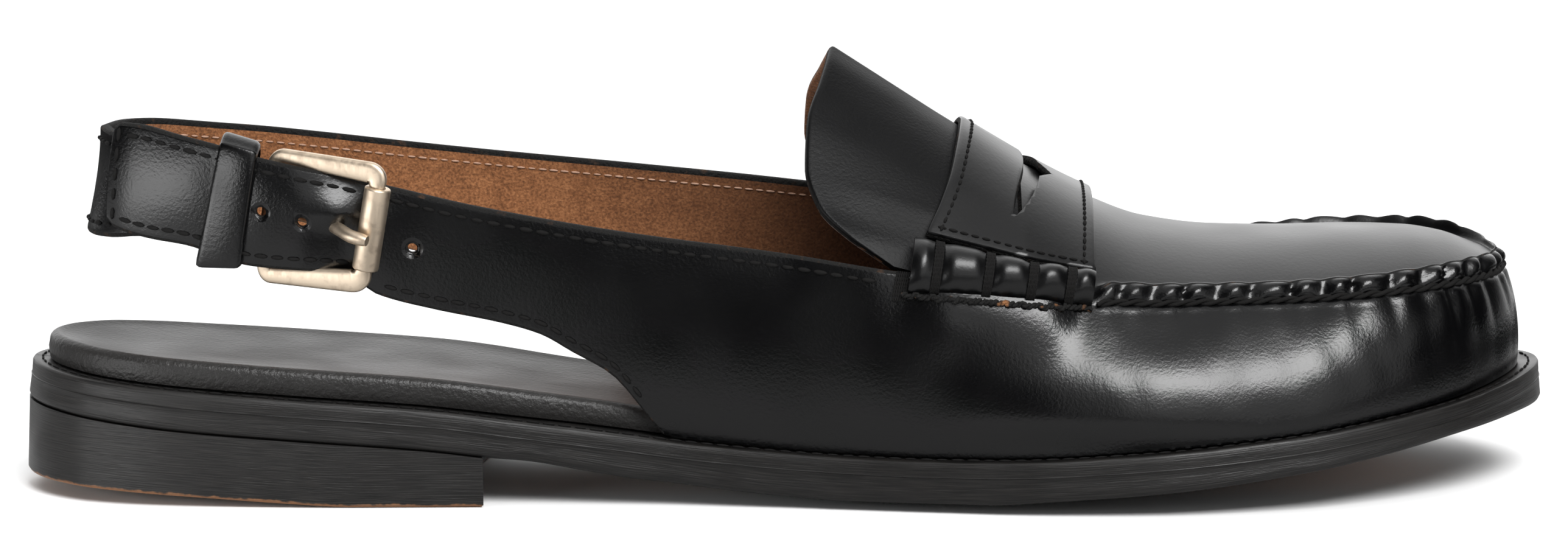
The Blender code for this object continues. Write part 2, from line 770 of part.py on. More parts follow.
def make_upper(material):
    """One sheet: free strap end, outer quarter, toe, inner quarter, heel strap; the apron joins it."""
    angles = upper_angles()
    tip = angle_of(STRAP_TIP)
    bar = angle_of(BACK_STRAP_END)
    path = [(angle, OUTER, "free") for angle in angles if angle >= tip]
    path += [(angle, INNER, "free") for angle in reversed(angles[1:-1])]
    path += [(angle, OUTER, "under") for angle in angles if angle <= bar]
    points = []
    raised = []
    corner_of = {}
    for angle, side, layer in path:
        if layer == "under":
            low = rise_at(angle, side, UNDER_STRAP["low"](angle))
            high = rise_at(angle, side, UNDER_STRAP["top"](angle))
            lift = 0.0
        else:
            low = rise_at(angle, side, LOWER[SIDE_NAME[side]](angle))
            high = 1.0
            lift = LIFT["lift"](angle) if side == OUTER else 0.0
        if angle > angle_of(LOWER_EDGE[-1][0]):
            low = 0.0
        out = np.array([*outward(angle, side), 0.0])
        ridge = ridge_amount(angle)
        for row in WALL_ROWS:
            points.append(wall(angle, side, low + row * (high - low)) + lift * out)
            climb = max(row - RIDGE_ROW, 0.0) / (1.0 - RIDGE_ROW)
            raised.append(ridge * min(RIDGE_SHOULDER * climb, 1.0))
        if layer == "free":
            corner_of[(angle, side)] = len(points) - 1
    faces = grid_faces(len(path), len(WALL_ROWS))
    corner_of[(math.pi, INNER)] = corner_of[(math.pi, OUTER)]
    rows = []
    for angle in [angle for angle in angles if angle >= APRON_ANGLE]:
        ridge = ridge_amount(angle)
        shares = apron_shares(angle)
        row = [corner_of[(angle, OUTER)]]
        for share in shares[1:-1]:
            if angle == math.pi:
                row.append(row[0])
                continue
            points.append(apron(angle, share))
            raised.append(RIDGE_APRON_SHARE * ridge if share in (shares[1], shares[-2]) else 0.0)
            row.append(len(points) - 1)
        row.append(corner_of[(angle, INNER)])
        rows.append(row)
    for row, following in zip(rows, rows[1:]):
        for column in range(len(row) - 1):
            faces.append((row[column], following[column], following[column + 1], row[column + 1]))
    points = np.array(points)
    normals = sheet_normals(points, faces)
    outside = points + normals * np.array(raised)[:, None]
    inside = points - normals * UPPER_THICKNESS
    return shell("upper", faces, outside, inside, material)


def make_tongue(material):
    """Flap that carries the apron's line up the instep, its sides tucked inside the quarters."""
    shares = np.linspace(-1.0, 1.0, 17)
    steps = np.linspace(0.0, 1.0, 7)
    front_x = APRON_BACK - TONGUE_JOINT
    points = []
    for step in steps:
        for share in shares:
            edge = tongue_edge(share)
            point = instep(front_x + step * (edge[0] - front_x), share)
            tuck = max(0.0, (abs(share) - TONGUE_TUCK_START) / (1.0 - TONGUE_TUCK_START))
            pull = TONGUE_TUCK * tuck * (1.0 - step)
            points.append(point - np.array([0.0, math.copysign(pull, share), pull]))
    faces = [face[::-1] for face in grid_faces(len(steps), len(shares))]
    points = np.array(points)
    inside = points - TONGUE_THICKNESS * sheet_normals(points, faces)
    return shell("tongue", faces, points, inside, material)


def slot_cutter():
    """Upright prism with the outline of the coin slot and its notch."""
    places = SLOT_HALF_LENGTH * np.sin(np.linspace(-0.5 * math.pi, 0.5 * math.pi, 21))
    front = []
    rear = []
    for place in places:
        share = place / SLOT_HALF_LENGTH
        bow = SLOT_PLACE - SLOT_BOW * share ** 2
        spread = SLOT_END_WIDTH + (SLOT_WIDTH - SLOT_END_WIDTH) * (1.0 - share ** SLOT_END_SHARPNESS)
        notch = NOTCH_LENGTH * max(0.0, 1.0 - abs(place) / NOTCH_HALF_WIDTH)
        front.append((bow + 0.5 * spread + notch, SLOT_MIDDLE + place))
        rear.append((bow - 0.5 * spread, SLOT_MIDDLE + place))
    outline = front + rear[::-1]
    loops = [[(x, y, height) for x, y in outline] for height in SLOT_CUT_HEIGHTS]
    cutter = loft("slot_cutter", loops, paint("cutter", (0.8, 0.1, 0.1), 0.5), collection=CUTTERS)
    hide_cutter(cutter)
    return cutter


def hide_cutter(cutter):
    cutter.hide_render = True
    cutter.display_type = "WIRE"


def cut(piece, cutter):
    boolean = piece.modifiers.new("cut " + cutter.name, "BOOLEAN")
    boolean.operation = "DIFFERENCE"
    boolean.object = cutter


def make_saddle_strap(material):
    """Band across the instep, lying just clear of apron and tongue, with the coin slot cut through."""
    shares = np.linspace(-SADDLE_SHARE, SADDLE_SHARE, 19)
    steps = np.linspace(0.0, 1.0, 8)
    points = []
    for step in steps:
        for share in shares:
            rear_x = TONGUE_CURVE["saddle_x"](abs(share))
            points.append(instep(rear_x + step * (SADDLE_FRONT - rear_x), share))
    faces = grid_faces(len(steps), len(shares))
    points = np.array(points)
    normals = sheet_normals(points, faces)
    strap = shell(
        "saddle_strap",
        faces,
        points + normals * (SADDLE_GAP + SADDLE_THICKNESS),
        points + normals * SADDLE_GAP,
        material,
    )
    cut(strap, slot_cutter())
    return strap


def roll_girth(part):
    """Fullness of a roll along its length: three swells between four thread bindings, drawn-in ends."""
    girth = 1.0
    for binding in ROLL_BINDINGS:
        girth -= ROLL_BINDING_DEPTH * math.exp(-((part - binding) / ROLL_BINDING_WIDTH) ** 2)
    return girth * (1.0 - ROLL_END_TAPER * abs(2.0 * part - 1.0) ** ROLL_END_SHARPNESS)


def make_beef_roll(name, side, material):
    """Bound roll over the end of the saddle strap, fitted to the seam under it."""
    loops = []
    arc = np.linspace(0.0, math.pi, 8)
    for part in np.linspace(0.0, 1.0, 25):
        x = ROLL_BACK + part * (ROLL_FRONT - ROLL_BACK)
        angle = angle_of_seam(x)
        seam = top_point(angle, side)
        low = wall(angle, side, ROLL_WALL_RISE)
        high = instep(x, ROLL_APRON_SHARE * side)
        chord = high - low
        chord[0] = 0.0
        facing = unit(np.array([0.0, side * chord[2], -side * chord[1]]))
        low[0] = x
        high[0] = x
        seam[0] = x
        clear = ROLL_GAP * facing
        bulge = ROLL_BULGE * roll_girth(part)
        middle = 0.5 * (low + high)
        loop = [high + clear, seam + clear, low + clear]
        for turn in arc[1:-1]:
            loop.append(middle + clear - 0.5 * math.cos(turn) * chord + bulge * math.sin(turn) * facing)
        loops.append(loop)
    return loft(name, loops, material)


def curve_tube(name, points, diameter, material, cyclic=False, collection=None):
    """Round bar along a path, made a mesh with its caps joined on."""
    path = bpy.data.curves.new(name + "_path", "CURVE")
    path.dimensions = "3D"
    path.bevel_depth = 0.5 * diameter * MM
    path.bevel_resolution = 2
    path.use_fill_caps = True
    path.twist_mode = "MINIMUM"
    line = path.splines.new("POLY")
    line.points.add(len(points) - 1)
    line.use_cyclic_u = cyclic
    for place, point in zip(line.points, points):
        place.co = (*(MM * np.asarray(point)), 1.0)
    guide = bpy.data.objects.new(name + "_path", path)
    bpy.context.scene.collection.objects.link(guide)
    evaluated = guide.evaluated_get(bpy.context.evaluated_depsgraph_get())
    mesh = bpy.data.meshes.new_from_object(evaluated)
    bpy.data.objects.remove(guide, do_unlink=True)
    mesh.name = name
    close_mesh(mesh)
    return link_object(name, mesh, material, collection)


def smooth_path(points, steps):
    """Points along a smooth curve through a few given ones."""
    points = np.asarray(points, float)
    places = np.concatenate([[0.0], np.cumsum(np.linalg.norm(np.diff(points, axis=0), axis=1))])
    axes = [spline(places, points[:, axis]) for axis in range(3)]
    return [np.array([axis(place) for axis in axes]) for place in np.linspace(0.0, places[-1], steps)]


def buckle_point(along, across):
    """Point in the buckle's plane: along 0 on the pivot bar, 1 on the roller's bar; across 0 on top."""
    corners = [on_wall(*corner) for corner in BUCKLE_CORNERS]
    upper_side = corners[0] + along * (corners[1] - corners[0])
    lower_side = corners[3] + along * (corners[2] - corners[3])
    return upper_side + across * (lower_side - upper_side)


def make_buckle_frame(material):
    points = []
    far = 1.0 - BUCKLE_CORNER
    near = BUCKLE_CORNER
    for along, across, quarter in ((near, near, 2), (far, near, 3), (far, far, 0), (near, far, 1)):
        for number in range(BUCKLE_CORNER_STEPS + 1):
            turn = 0.5 * math.pi * (quarter + number / BUCKLE_CORNER_STEPS)
            points.append(buckle_point(
                along + BUCKLE_CORNER * math.cos(turn), across + BUCKLE_CORNER * math.sin(turn)))
    return curve_tube("buckle_frame", points, BUCKLE_WIRE, material, cyclic=True)


def make_buckle_roller(material):
    """Tube that turns on the frame's front bar."""
    top = buckle_point(1.0, 0.0)
    base = buckle_point(1.0, 1.0)
    middle = 0.5 * (top + base)
    axis = unit(top - base)
    side = unit(np.cross(axis, [1.0, 0.0, 0.0]))
    other = np.cross(axis, side)
    profile = (
        (0.5 * BUCKLE_WIRE + GAP, 0.5 * ROLLER_LENGTH),
        (0.5 * ROLLER_DIAMETER, 0.5 * ROLLER_LENGTH),
        (0.5 * ROLLER_DIAMETER, -0.5 * ROLLER_LENGTH),
        (0.5 * BUCKLE_WIRE + GAP, -0.5 * ROLLER_LENGTH),
    )
    loops = []
    for number in range(ROLLER_SIDES):
        turn = 2.0 * math.pi * number / ROLLER_SIDES
        spoke = math.cos(turn) * side + math.sin(turn) * other
        loops.append([middle + radius * spoke + height * axis for radius, height in profile])
    return loft("buckle_roller", loops, material, ends="ring")


def make_buckle_prong(material):
    route = smooth_path([on_wall(*stop) for stop in PRONG_PATH], 12)
    return curve_tube("buckle_prong", route, PRONG_DIAMETER, material)


def prong_hole_cutter():
    route = smooth_path([on_wall(*stop) for stop in PRONG_PATH[:-1]], 10)
    cutter = curve_tube(
        "prong_hole_cutter",
        route,
        PRONG_DIAMETER + PRONG_HOLE_CLEARANCE,
        paint("hole_cutter", (0.8, 0.1, 0.1), 0.5),
        collection=CUTTERS,
    )
    hide_cutter(cutter)
    return cutter


def make_strap_keeper(material):
    """Leather loop round both layers of strap beside the buckle."""
    loops = []
    for grow in (KEEPER_GAP, KEEPER_GAP + KEEPER_THICKNESS):
        for top_x, low_x in KEEPER_RIMS:
            top_angle = angle_of_seam(top_x)
            low_angle = angle_of_seam(low_x)
            face = {"outer": LIFT["lift"](top_angle), "inner": -UPPER_THICKNESS}
            away = {"outer": grow, "inner": -grow}
            top = max(TOP["outer_z"](top_angle), UNDER_STRAP["top"](top_angle)) + grow
            low = min(LOWER["outer"](low_angle), UNDER_STRAP["low"](low_angle)) - KEEPER_DROP - grow
            loop = []
            for share, name, clearance in KEEPER_SECTION:
                x = low_x + share * (top_x - low_x)
                height = low + share * (top - low)
                loop.append(on_wall(x, height, face[name] + clearance * away[name]))
            loops.append(loop)
    inside_back, inside_front, outside_back, outside_front = loops
    ring = [inside_back, inside_front, outside_front, outside_back]
    return loft("strap_keeper", ring, material, ends="ring")


def main():
    sole_black = paint("sole_edge_black", (0.012, 0.011, 0.010), 0.42)
    heel_black = paint("heel_black", (0.011, 0.010, 0.010), 0.45)
    welt_black = paint("midsole_black", (0.014, 0.012, 0.011), 0.48)
    footbed = paint("footbed_leather", (0.016, 0.014, 0.013), 0.5)
    polished = paint("polished_leather", (0.010, 0.010, 0.011), 0.2)
    tongue_leather = paint("tongue_leather", (0.011, 0.011, 0.012), 0.22)
    saddle_leather = paint("saddle_leather", (0.011, 0.011, 0.012), 0.2)
    roll_leather = paint("roll_leather", (0.010, 0.010, 0.011), 0.24)
    keeper_leather = paint("keeper_leather", (0.010, 0.010, 0.011), 0.22)
    nickel = paint("warm_nickel", (0.72, 0.66, 0.56), 0.24, 1.0)
    make_outsole(sole_black)
    make_midsole(welt_black)
    make_heel(heel_black)
    make_insole(footbed)
    upper = make_upper(polished)
    cut(upper, prong_hole_cutter())
    make_tongue(tongue_leather)
    make_saddle_strap(saddle_leather)
    make_beef_roll("beef_roll_outer", OUTER, roll_leather)
    make_beef_roll("beef_roll_inner", INNER, roll_leather)
    make_buckle_frame(nickel)
    make_buckle_roller(nickel)
    make_buckle_prong(nickel)
    make_strap_keeper(keeper_leather)


main()
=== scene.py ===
# %% [markdown]
# # A slingback penny loafer for the right foot
# This lesson dresses a packed shoe. The frame holds plain solids at their real size, and each cell
# below puts a finer piece in the place of one of them: leather with pleats and cut edges, thread,
# an inked sole and a nickel buckle. The toe points to +X, the outer side with the buckle is -Y.

# %% Load the frame
import math

import bmesh
import bpy
import numpy as np
from mathutils import Matrix


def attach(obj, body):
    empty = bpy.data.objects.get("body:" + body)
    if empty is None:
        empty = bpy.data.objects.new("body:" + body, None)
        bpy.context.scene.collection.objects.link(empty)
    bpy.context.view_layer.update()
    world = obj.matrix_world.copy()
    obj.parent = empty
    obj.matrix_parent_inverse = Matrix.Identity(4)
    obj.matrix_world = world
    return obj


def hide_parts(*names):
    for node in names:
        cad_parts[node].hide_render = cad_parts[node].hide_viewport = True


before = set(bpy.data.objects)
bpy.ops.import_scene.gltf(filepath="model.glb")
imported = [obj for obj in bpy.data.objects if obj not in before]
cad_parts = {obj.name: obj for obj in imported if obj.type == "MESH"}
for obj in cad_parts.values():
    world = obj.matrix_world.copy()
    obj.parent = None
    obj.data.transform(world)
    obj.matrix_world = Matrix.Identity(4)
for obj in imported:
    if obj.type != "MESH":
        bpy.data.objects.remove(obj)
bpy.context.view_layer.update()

MM = 0.001
OUTER, INNER = -1, 1
SIDE = {OUTER: "outer", INNER: "inner"}
bpy.context.scene.view_settings.view_transform = "Standard"
print("nodes:", sorted(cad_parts))

# %% [markdown]
# ## One set of curves for every piece
# A shoemaker draws a few lines on the last and cuts every piece from them. The script does the same:
# short tables give places on the sole's edge, the top line and the crown, and a monotone spline runs
# through them without swinging out. All lengths are millimetres until a mesh is made.

# %% Smooth curves through tables
def spline(places, values):
    places = np.asarray(places, float)
    values = np.asarray(values, float)
    step = np.diff(places)
    slope = np.diff(values) / step
    same_way = slope[:-1] * slope[1:] > 0.0
    total = np.where(same_way, slope[:-1] + slope[1:], 1.0)
    inside = np.where(same_way, 2.0 * slope[:-1] * slope[1:] / total, 0.0)
    tangent = np.concatenate([slope[:1], inside, slope[-1:]])

    def value(place):
        place = np.clip(np.asarray(place, float), places[0], places[-1])
        row = np.clip(np.searchsorted(places, place, side="right") - 1, 0, len(step) - 1)
        part = (place - places[row]) / step[row]
        rest = 1.0 - part
        level = values[row] * rest ** 2 * (1.0 + 2.0 * part)
        level = level + values[row + 1] * part ** 2 * (3.0 - 2.0 * part)
        return level + step[row] * (tangent[row] * rest ** 2 * part - tangent[row + 1] * part ** 2 * rest)

    return value


def angle_of(along):
    return np.arccos(np.clip(1.0 - 2.0 * np.asarray(along, float), -1.0, 1.0))


def curves(columns, table, place_of=np.asarray):
    rows = np.array(table, float)
    return {name: spline(place_of(rows[:, 0]), rows[:, n]) for n, name in enumerate(columns) if n}


def run_along(points):
    """Distance of each point from the first, along the line."""
    return np.concatenate([[0.0], np.cumsum(np.linalg.norm(np.diff(points, axis=0), axis=1))])


def smoothstep(low, high, value):
    part = np.clip((np.asarray(value, float) - low) / (high - low), 0.0, 1.0)
    return part * part * (3.0 - 2.0 * part)


print("halfway up a smooth step:", float(smoothstep(0.0, 1.0, 0.5)))

# %% The sole's tables
SOLE_LENGTH = 290.0
SEAT_GAP = 0.45
OUTLINE = curves(("along", "outer", "inner"), (
    (0.00, 0.0, 0.0), (0.02, 15.8, 15.8), (0.05, 23.2, 23.2), (0.10, 27.8, 27.6), (0.18, 30.0, 29.0),
    (0.30, 31.0, 28.6), (0.40, 32.0, 26.6), (0.50, 36.0, 28.6), (0.60, 42.5, 37.2), (0.68, 47.3, 45.4),
    (0.75, 49.0, 49.0), (0.83, 46.0, 48.4), (0.90, 37.0, 43.4), (0.95, 25.5, 34.6), (0.98, 13.0, 24.4),
    (1.00, -7.0, 7.0)), angle_of)
PROFILE = curves(("x", "ground", "rim_lift", "ledge"), (
    (-145, 17.3, 0.0, 24.8), (-134, 16.1, 0.0, 23.6), (-115, 14.2, 0.0, 21.8), (-90, 12.3, 0.0, 19.9),
    (-68, 10.6, 0.0, 18.2), (-57, 9.3, 0.0, 16.9), (-48, 8.2, 0.3, 15.7), (-40, 6.6, 0.5, 14.7),
    (-30, 4.7, 0.7, 13.4), (-20, 3.3, 1.0, 12.1), (-10, 1.9, 1.2, 11.2), (1, 0.7, 1.5, 10.4),
    (11, 0.0, 1.6, 9.95), (24, 0.0, 1.65, 9.7), (38, 0.0, 1.7, 9.85), (47, 0.7, 1.7, 10.2),
    (72, 2.9, 1.6, 12.0), (92, 5.4, 1.4, 13.8), (112, 8.6, 1.0, 16.0), (128, 11.4, 0.7, 18.0),
    (138, 12.6, 0.4, 19.5), (145, 13.2, 0.0, 20.7)))
HEEL_BASE = curves(("x", "base"), (
    (-145, 3.2), (-130, 2.7), (-110, 1.7), (-95, 0.7), (-82, 0.0), (-51, 0.0)))["base"]
FOOTBED = curves(("along", "inset", "height"), (
    (0.00, 4.6, 5.0), (0.28, 4.8, 5.0), (0.38, 6.2, 4.6), (0.60, 6.0, 3.4), (0.90, 6.2, 3.0),
    (1.00, 7.6, 3.0)), angle_of)
print("sole:", SOLE_LENGTH, "mm long")

# %% The upper's tables
WALL = curves(("along", "inset", "low_pull", "low_rise", "high_pull", "high_drop"), (
    (0.00, 8.0, 0.0, 0.33, 0.0, 0.33), (0.30, 6.0, 0.5, 0.33, 0.2, 0.33), (0.42, 3.4, 3.0, 0.35, 1.0, 0.30),
    (0.58, 3.0, 2.5, 0.40, 2.5, 0.22), (0.70, 3.0, 2.0, 0.45, 5.0, 0.15), (0.82, 3.0, 1.5, 0.45, 6.5, 0.15),
    (0.92, 3.4, 1.2, 0.45, 5.0, 0.15), (1.00, 4.5, 1.0, 0.45, 2.5, 0.15)), angle_of)
TOP = curves(("along", "x", "outer_y", "outer_z", "inner_y", "inner_z"), (
    (0.00, -130.0, 0.0, 69.0, 0.0, 69.0), (0.02, -127.6, 10.5, 72.0, 10.5, 68.5),
    (0.05, -121.5, 17.8, 72.1, 17.8, 67.8), (0.10, -110.5, 23.3, 69.8, 23.3, 66.2),
    (0.15, -99.5, 25.8, 66.9, 25.8, 64.9), (0.20, -86.5, 27.4, 64.0, 27.4, 63.2),
    (0.24, -75.4, 28.5, 61.2, 28.5, 61.7), (0.30, -58.0, 29.4, 57.0, 29.4, 59.6),
    (0.40, -29.0, 31.5, 52.0, 31.6, 56.3), (0.50, 0.0, 35.2, 48.5, 35.2, 52.6),
    (0.57, 20.0, 38.8, 45.7, 38.5, 49.4), (0.64, 40.0, 37.4, 42.9, 38.5, 45.0),
    (0.70, 58.0, 34.0, 40.3, 36.5, 41.2), (0.76, 74.0, 31.2, 39.1, 35.0, 39.8),
    (0.82, 91.0, 29.0, 39.0, 34.0, 39.5), (0.88, 107.0, 27.2, 39.6, 33.0, 40.2),
    (0.93, 119.5, 22.0, 40.3, 30.0, 40.7), (0.97, 129.5, 12.5, 40.6, 24.0, 40.9),
    (0.99, 134.2, 3.5, 40.7, 17.0, 40.9), (1.00, 136.5, -7.0, 40.8, 7.0, 40.8)), angle_of)
LOWER_END = 0.42
LOWER = curves(("along", "outer", "inner"), (
    (0.000, 52.6, 48.8), (0.034, 52.3, 48.6), (0.050, 51.2, 48.2), (0.073, 50.1, 47.4), (0.100, 49.2, 46.4),
    (0.150, 45.5, 44.8), (0.193, 44.5, 43.4), (0.214, 43.9, 42.6), (0.235, 39.8, 41.4), (0.272, 36.9, 38.8),
    (0.317, 34.2, 35.8), (0.341, 32.2, 33.4), (0.362, 28.8, 29.8), (0.386, 24.9, 25.5), (0.397, 21.6, 22.0),
    (0.408, 17.3, 17.5), (LOWER_END, 12.6, 12.6)), angle_of)
BACK_STRAP = curves(("along", "top", "low"), (
    (0.000, 69.0, 48.8), (0.030, 69.4, 49.4), (0.060, 69.4, 50.2), (0.100, 68.8, 50.4),
    (0.150, 66.4, 48.4)), angle_of)
STRAP_LIFT = curves(("along", "lift"), (
    (0.034, 2.35), (0.120, 2.40), (0.145, 2.80), (0.180, 2.80), (0.193, 2.10), (0.205, 0.90),
    (0.214, 0.20), (0.221, 0.00)), angle_of)["lift"]
CROWN = curves(("x", "height"), (
    (9.4, 83.1), (33.2, 67.4), (45.0, 59.6), (59.4, 52.2), (69.0, 48.6), (82.0, 46.8), (95.0, 46.5),
    (107.0, 46.6), (118.6, 46.2), (126.0, 44.9), (131.0, 43.0), (136.5, 40.8)))["height"]
TONGUE = curves(("share", "x", "y", "z", "saddle_x"), (
    (0.00, 9.4, 0.0, 83.1, 33.2), (0.20, 8.8, 5.0, 81.5, 32.9), (0.40, 7.3, 11.5, 77.9, 32.2),
    (0.60, 4.9, 19.0, 71.9, 31.0), (0.75, 4.3, 25.8, 63.6, 29.0), (0.87, 6.4, 30.4, 57.2, 26.9),
    (0.95, 12.2, 33.9, 51.5, 25.5), (1.00, 20.0, 35.3, 46.0, 25.0)))
STRAP_TIP, BACK_STRAP_END, APRON_BACK = 0.034, 0.134, 45.0
print("tongue:", float(TONGUE["z"](0.0)), "mm high")

# %% [markdown]
# ## The foot's surface
# Two small functions carry the whole upper. `wall` climbs from the sole to the top line as one cubic
# Bezier at each station round the shoe, and `apron` spans the forefoot between the two seams. Every
# leather piece is cut from them, so pieces always lie on each other and never cross.

# %% The wall of the upper
def sole_edge(angle, side):
    angle = np.asarray(angle, float)
    return np.stack([-0.5 * SOLE_LENGTH * np.cos(angle), side * OUTLINE[SIDE[side]](angle)], -1)


def outward(angle, side):
    angle = np.asarray(angle, float)
    reach = np.clip(np.minimum(angle, math.pi - angle), 1e-6, 0.01)
    run = sole_edge(angle + reach, side) - sole_edge(angle - reach, side)
    out = np.stack([-side * run[..., 1], side * run[..., 0]], -1)
    return out / np.linalg.norm(out, axis=-1, keepdims=True)


def inset_edge(angle, side, inset):
    return sole_edge(angle, side) - np.asarray(inset, float)[..., None] * outward(angle, side)


def top_point(angle, side):
    name = SIDE[side]
    return np.stack([TOP["x"](angle), side * TOP[name + "_y"](angle), TOP[name + "_z"](angle)], -1)


def raise_flat(flat, height):
    return np.concatenate([flat, np.asarray(height, float)[..., None]], -1)


def wall(angle, side, rise):
    angle = np.asarray(angle, float)
    rise = np.asarray(rise, float)[..., None]
    start = inset_edge(angle, side, WALL["inset"](angle))
    foot = raise_flat(start, PROFILE["ledge"](start[..., 0]) + SEAT_GAP)
    head = top_point(angle, side)
    out = raise_flat(outward(angle, side), np.zeros_like(angle))
    up = np.zeros_like(head)
    up[..., 2] = head[..., 2] - foot[..., 2]
    low = foot + WALL["low_pull"](angle)[..., None] * out + WALL["low_rise"](angle)[..., None] * up
    high = head + WALL["high_pull"](angle)[..., None] * out - WALL["high_drop"](angle)[..., None] * up
    rest = 1.0 - rise
    return rest ** 3 * foot + 3 * rest ** 2 * rise * low + 3 * rest * rise ** 2 * high + rise ** 3 * head


def rise_at(angle, side, height):
    """How far up the wall each height lies."""
    angle, height = np.broadcast_arrays(np.atleast_1d(np.asarray(angle, float)), np.asarray(height, float))
    rises = np.linspace(0.0, 1.0, 60)
    levels = wall(np.repeat(angle[:, None], 60, 1), side, np.repeat(rises[None], len(angle), 0))[..., 2]
    return np.array([np.interp(high, level, rises) for high, level in zip(height, levels)])


def on_wall(x, height, lift):
    """Points on the outer side at given x and heights, lifted straight out."""
    lists = [np.atleast_1d(np.asarray(value, float)) for value in (x, height, lift)]
    x, height, lift = np.broadcast_arrays(*lists)
    low, high = np.zeros(len(x)), np.full(len(x), 0.5 * math.pi)
    for _ in range(26):
        angle = 0.5 * (low + high)
        point = wall(angle, OUTER, rise_at(angle, OUTER, height))
        behind = point[:, 0] < x
        low, high = np.where(behind, angle, low), np.where(behind, high, angle)
    point = point + lift[:, None] * raise_flat(outward(angle, OUTER), np.zeros(len(x)))
    point[:, 2] = height
    return point


print("wall behind the heel:", np.round(wall(0.0, OUTER, 0.5), 1))

# %% Apron, tongue and instep
ALL_ANGLES = np.linspace(0.0, math.pi, 4001)


def angle_of_seam(x):
    return np.interp(x, TOP["x"](ALL_ANGLES), ALL_ANGLES)


def apron(angle, share):
    outer_seam, inner_seam = top_point(angle, OUTER), top_point(angle, INNER)
    share = np.asarray(share, float)
    point = 0.5 * (outer_seam + inner_seam) + 0.5 * share[..., None] * (inner_seam - outer_seam)
    arch = CROWN(point[..., 0]) - 0.5 * (outer_seam[..., 2] + inner_seam[..., 2])
    point[..., 2] += arch * (1.0 - np.abs(share) ** 2.2)
    return point


APRON_ANGLE = float(angle_of_seam(APRON_BACK))


def tongue_edge(share):
    place = np.abs(share)
    return np.stack([TONGUE["x"](place), np.sign(share) * TONGUE["y"](place), TONGUE["z"](place)], -1)


def instep(x, share):
    """Apron in front, straight lines up to the tongue's edge behind."""
    x, share = np.broadcast_arrays(np.asarray(x, float), np.asarray(share, float))
    front = apron(np.full(share.shape, APRON_ANGLE), share)
    edge = tongue_edge(share)
    behind = front + (edge - front) * ((APRON_BACK - x) / (APRON_BACK - edge[..., 0]))[..., None]
    ahead = apron(angle_of_seam(np.maximum(x, APRON_BACK)), share)
    return np.where((x >= APRON_BACK)[..., None], ahead, behind)


print("throat at", np.round(top_point(np.array(APRON_ANGLE), OUTER), 1))

# %% [markdown]
# ## Meshes, pieces and paths
# A leather piece is a sheet with two faces and a cut edge. `leather` closes two such sheets along
# their border and gives outside, flesh side and edge a material each. A modifier could thicken one
# sheet, but two sheets let the pleats stay on the outside only, as on the real shoe.

# %% Grids and sheets
def grid_faces(rows, columns, wrap=False):
    row, column = np.meshgrid(np.arange(rows - 1), np.arange(columns if wrap else columns - 1), indexing="ij")
    corner = row * columns + column
    beside = row * columns + (column + 1) % columns
    return np.stack([corner, corner + columns, beside + columns, beside], -1).reshape(-1, 4)


def clean_faces(faces):
    kept = []
    for face in faces:
        corners = tuple(dict.fromkeys(int(corner) for corner in face))
        if len(corners) > 2:
            kept.append(corners)
    return kept


def sheet_normals(points, faces):
    normals = np.zeros_like(points)
    for face in faces:
        corners = points[list(face)]
        middle = corners.mean(axis=0)
        area = np.cross(corners - middle, np.roll(corners, -1, axis=0) - middle).sum(axis=0)
        normals[list(face)] += area
    return normals / np.maximum(np.linalg.norm(normals, axis=1), 1e-12)[:, None]


def mesh_of(name, points, faces, materials, slots=None, sharp=45.0):
    mesh = bpy.data.meshes.new(name)
    mesh.from_pydata((np.asarray(points, float) * MM).tolist(), [], [tuple(map(int, face)) for face in faces])
    for material in materials:
        mesh.materials.append(material)
    if slots is not None:
        mesh.polygons.foreach_set("material_index", np.asarray(slots, np.int32))
    mesh.shade_smooth()
    mesh.set_sharp_from_angle(angle=math.radians(sharp))
    mesh.validate()
    return mesh


def leather(name, faces, outside, inside, materials, marks=None, back_marks=None):
    """Closed sheet of leather: outside, flesh side and cut edge take the three materials."""
    count = len(outside)
    border = {}
    for face in faces:
        for start, end in zip(face, face[1:] + face[:1]):
            if (end, start) in border:
                del border[(end, start)]
            else:
                border[(start, end)] = True
    back = [tuple(count + corner for corner in reversed(face)) for face in faces]
    rim = [(end, start, count + start, count + end) for start, end in border]
    marks = [0] * len(faces) if marks is None else list(marks)
    back_marks = [1] * len(faces) if back_marks is None else list(back_marks)
    slots = marks + back_marks + [2] * len(rim)
    return mesh_of(name, np.concatenate([outside, inside]), faces + back + rim, materials, slots)


print("faces of a 3 by 3 grid:", len(grid_faces(3, 3)))

# %% Lofts with closed seams
JOIN_DISTANCE = 2e-6


def close_seams(mesh, recalculate=False):
    """Joins points that lie on each other and turns the faces outward."""
    work = bmesh.new()
    work.from_mesh(mesh)
    bmesh.ops.remove_doubles(work, verts=work.verts, dist=JOIN_DISTANCE)
    if recalculate:
        bmesh.ops.recalc_face_normals(work, faces=work.faces)
    elif work.calc_volume(signed=True) < 0.0:
        bmesh.ops.reverse_faces(work, faces=work.faces)
    work.to_mesh(mesh)
    work.free()
    return mesh


def loft(name, loops, materials, ring=False, sharp=45.0):
    """Closed skin through loops of points, with capped ends or joined end to end."""
    count = len(loops[0])
    points = np.concatenate([np.asarray(loop, float) for loop in loops])
    faces = [tuple(face) for face in grid_faces(len(loops), count, wrap=True)]
    if ring:
        last = (len(loops) - 1) * count
        for corner in range(count):
            after = (corner + 1) % count
            faces.append((last + corner, corner, after, last + after))
    else:
        faces.append(tuple(range(count)))
        faces.append(tuple(reversed(range(len(points) - count, len(points)))))
    return close_seams(mesh_of(name, points, faces, materials, sharp=sharp))


print("points closer than", JOIN_DISTANCE, "m are joined")

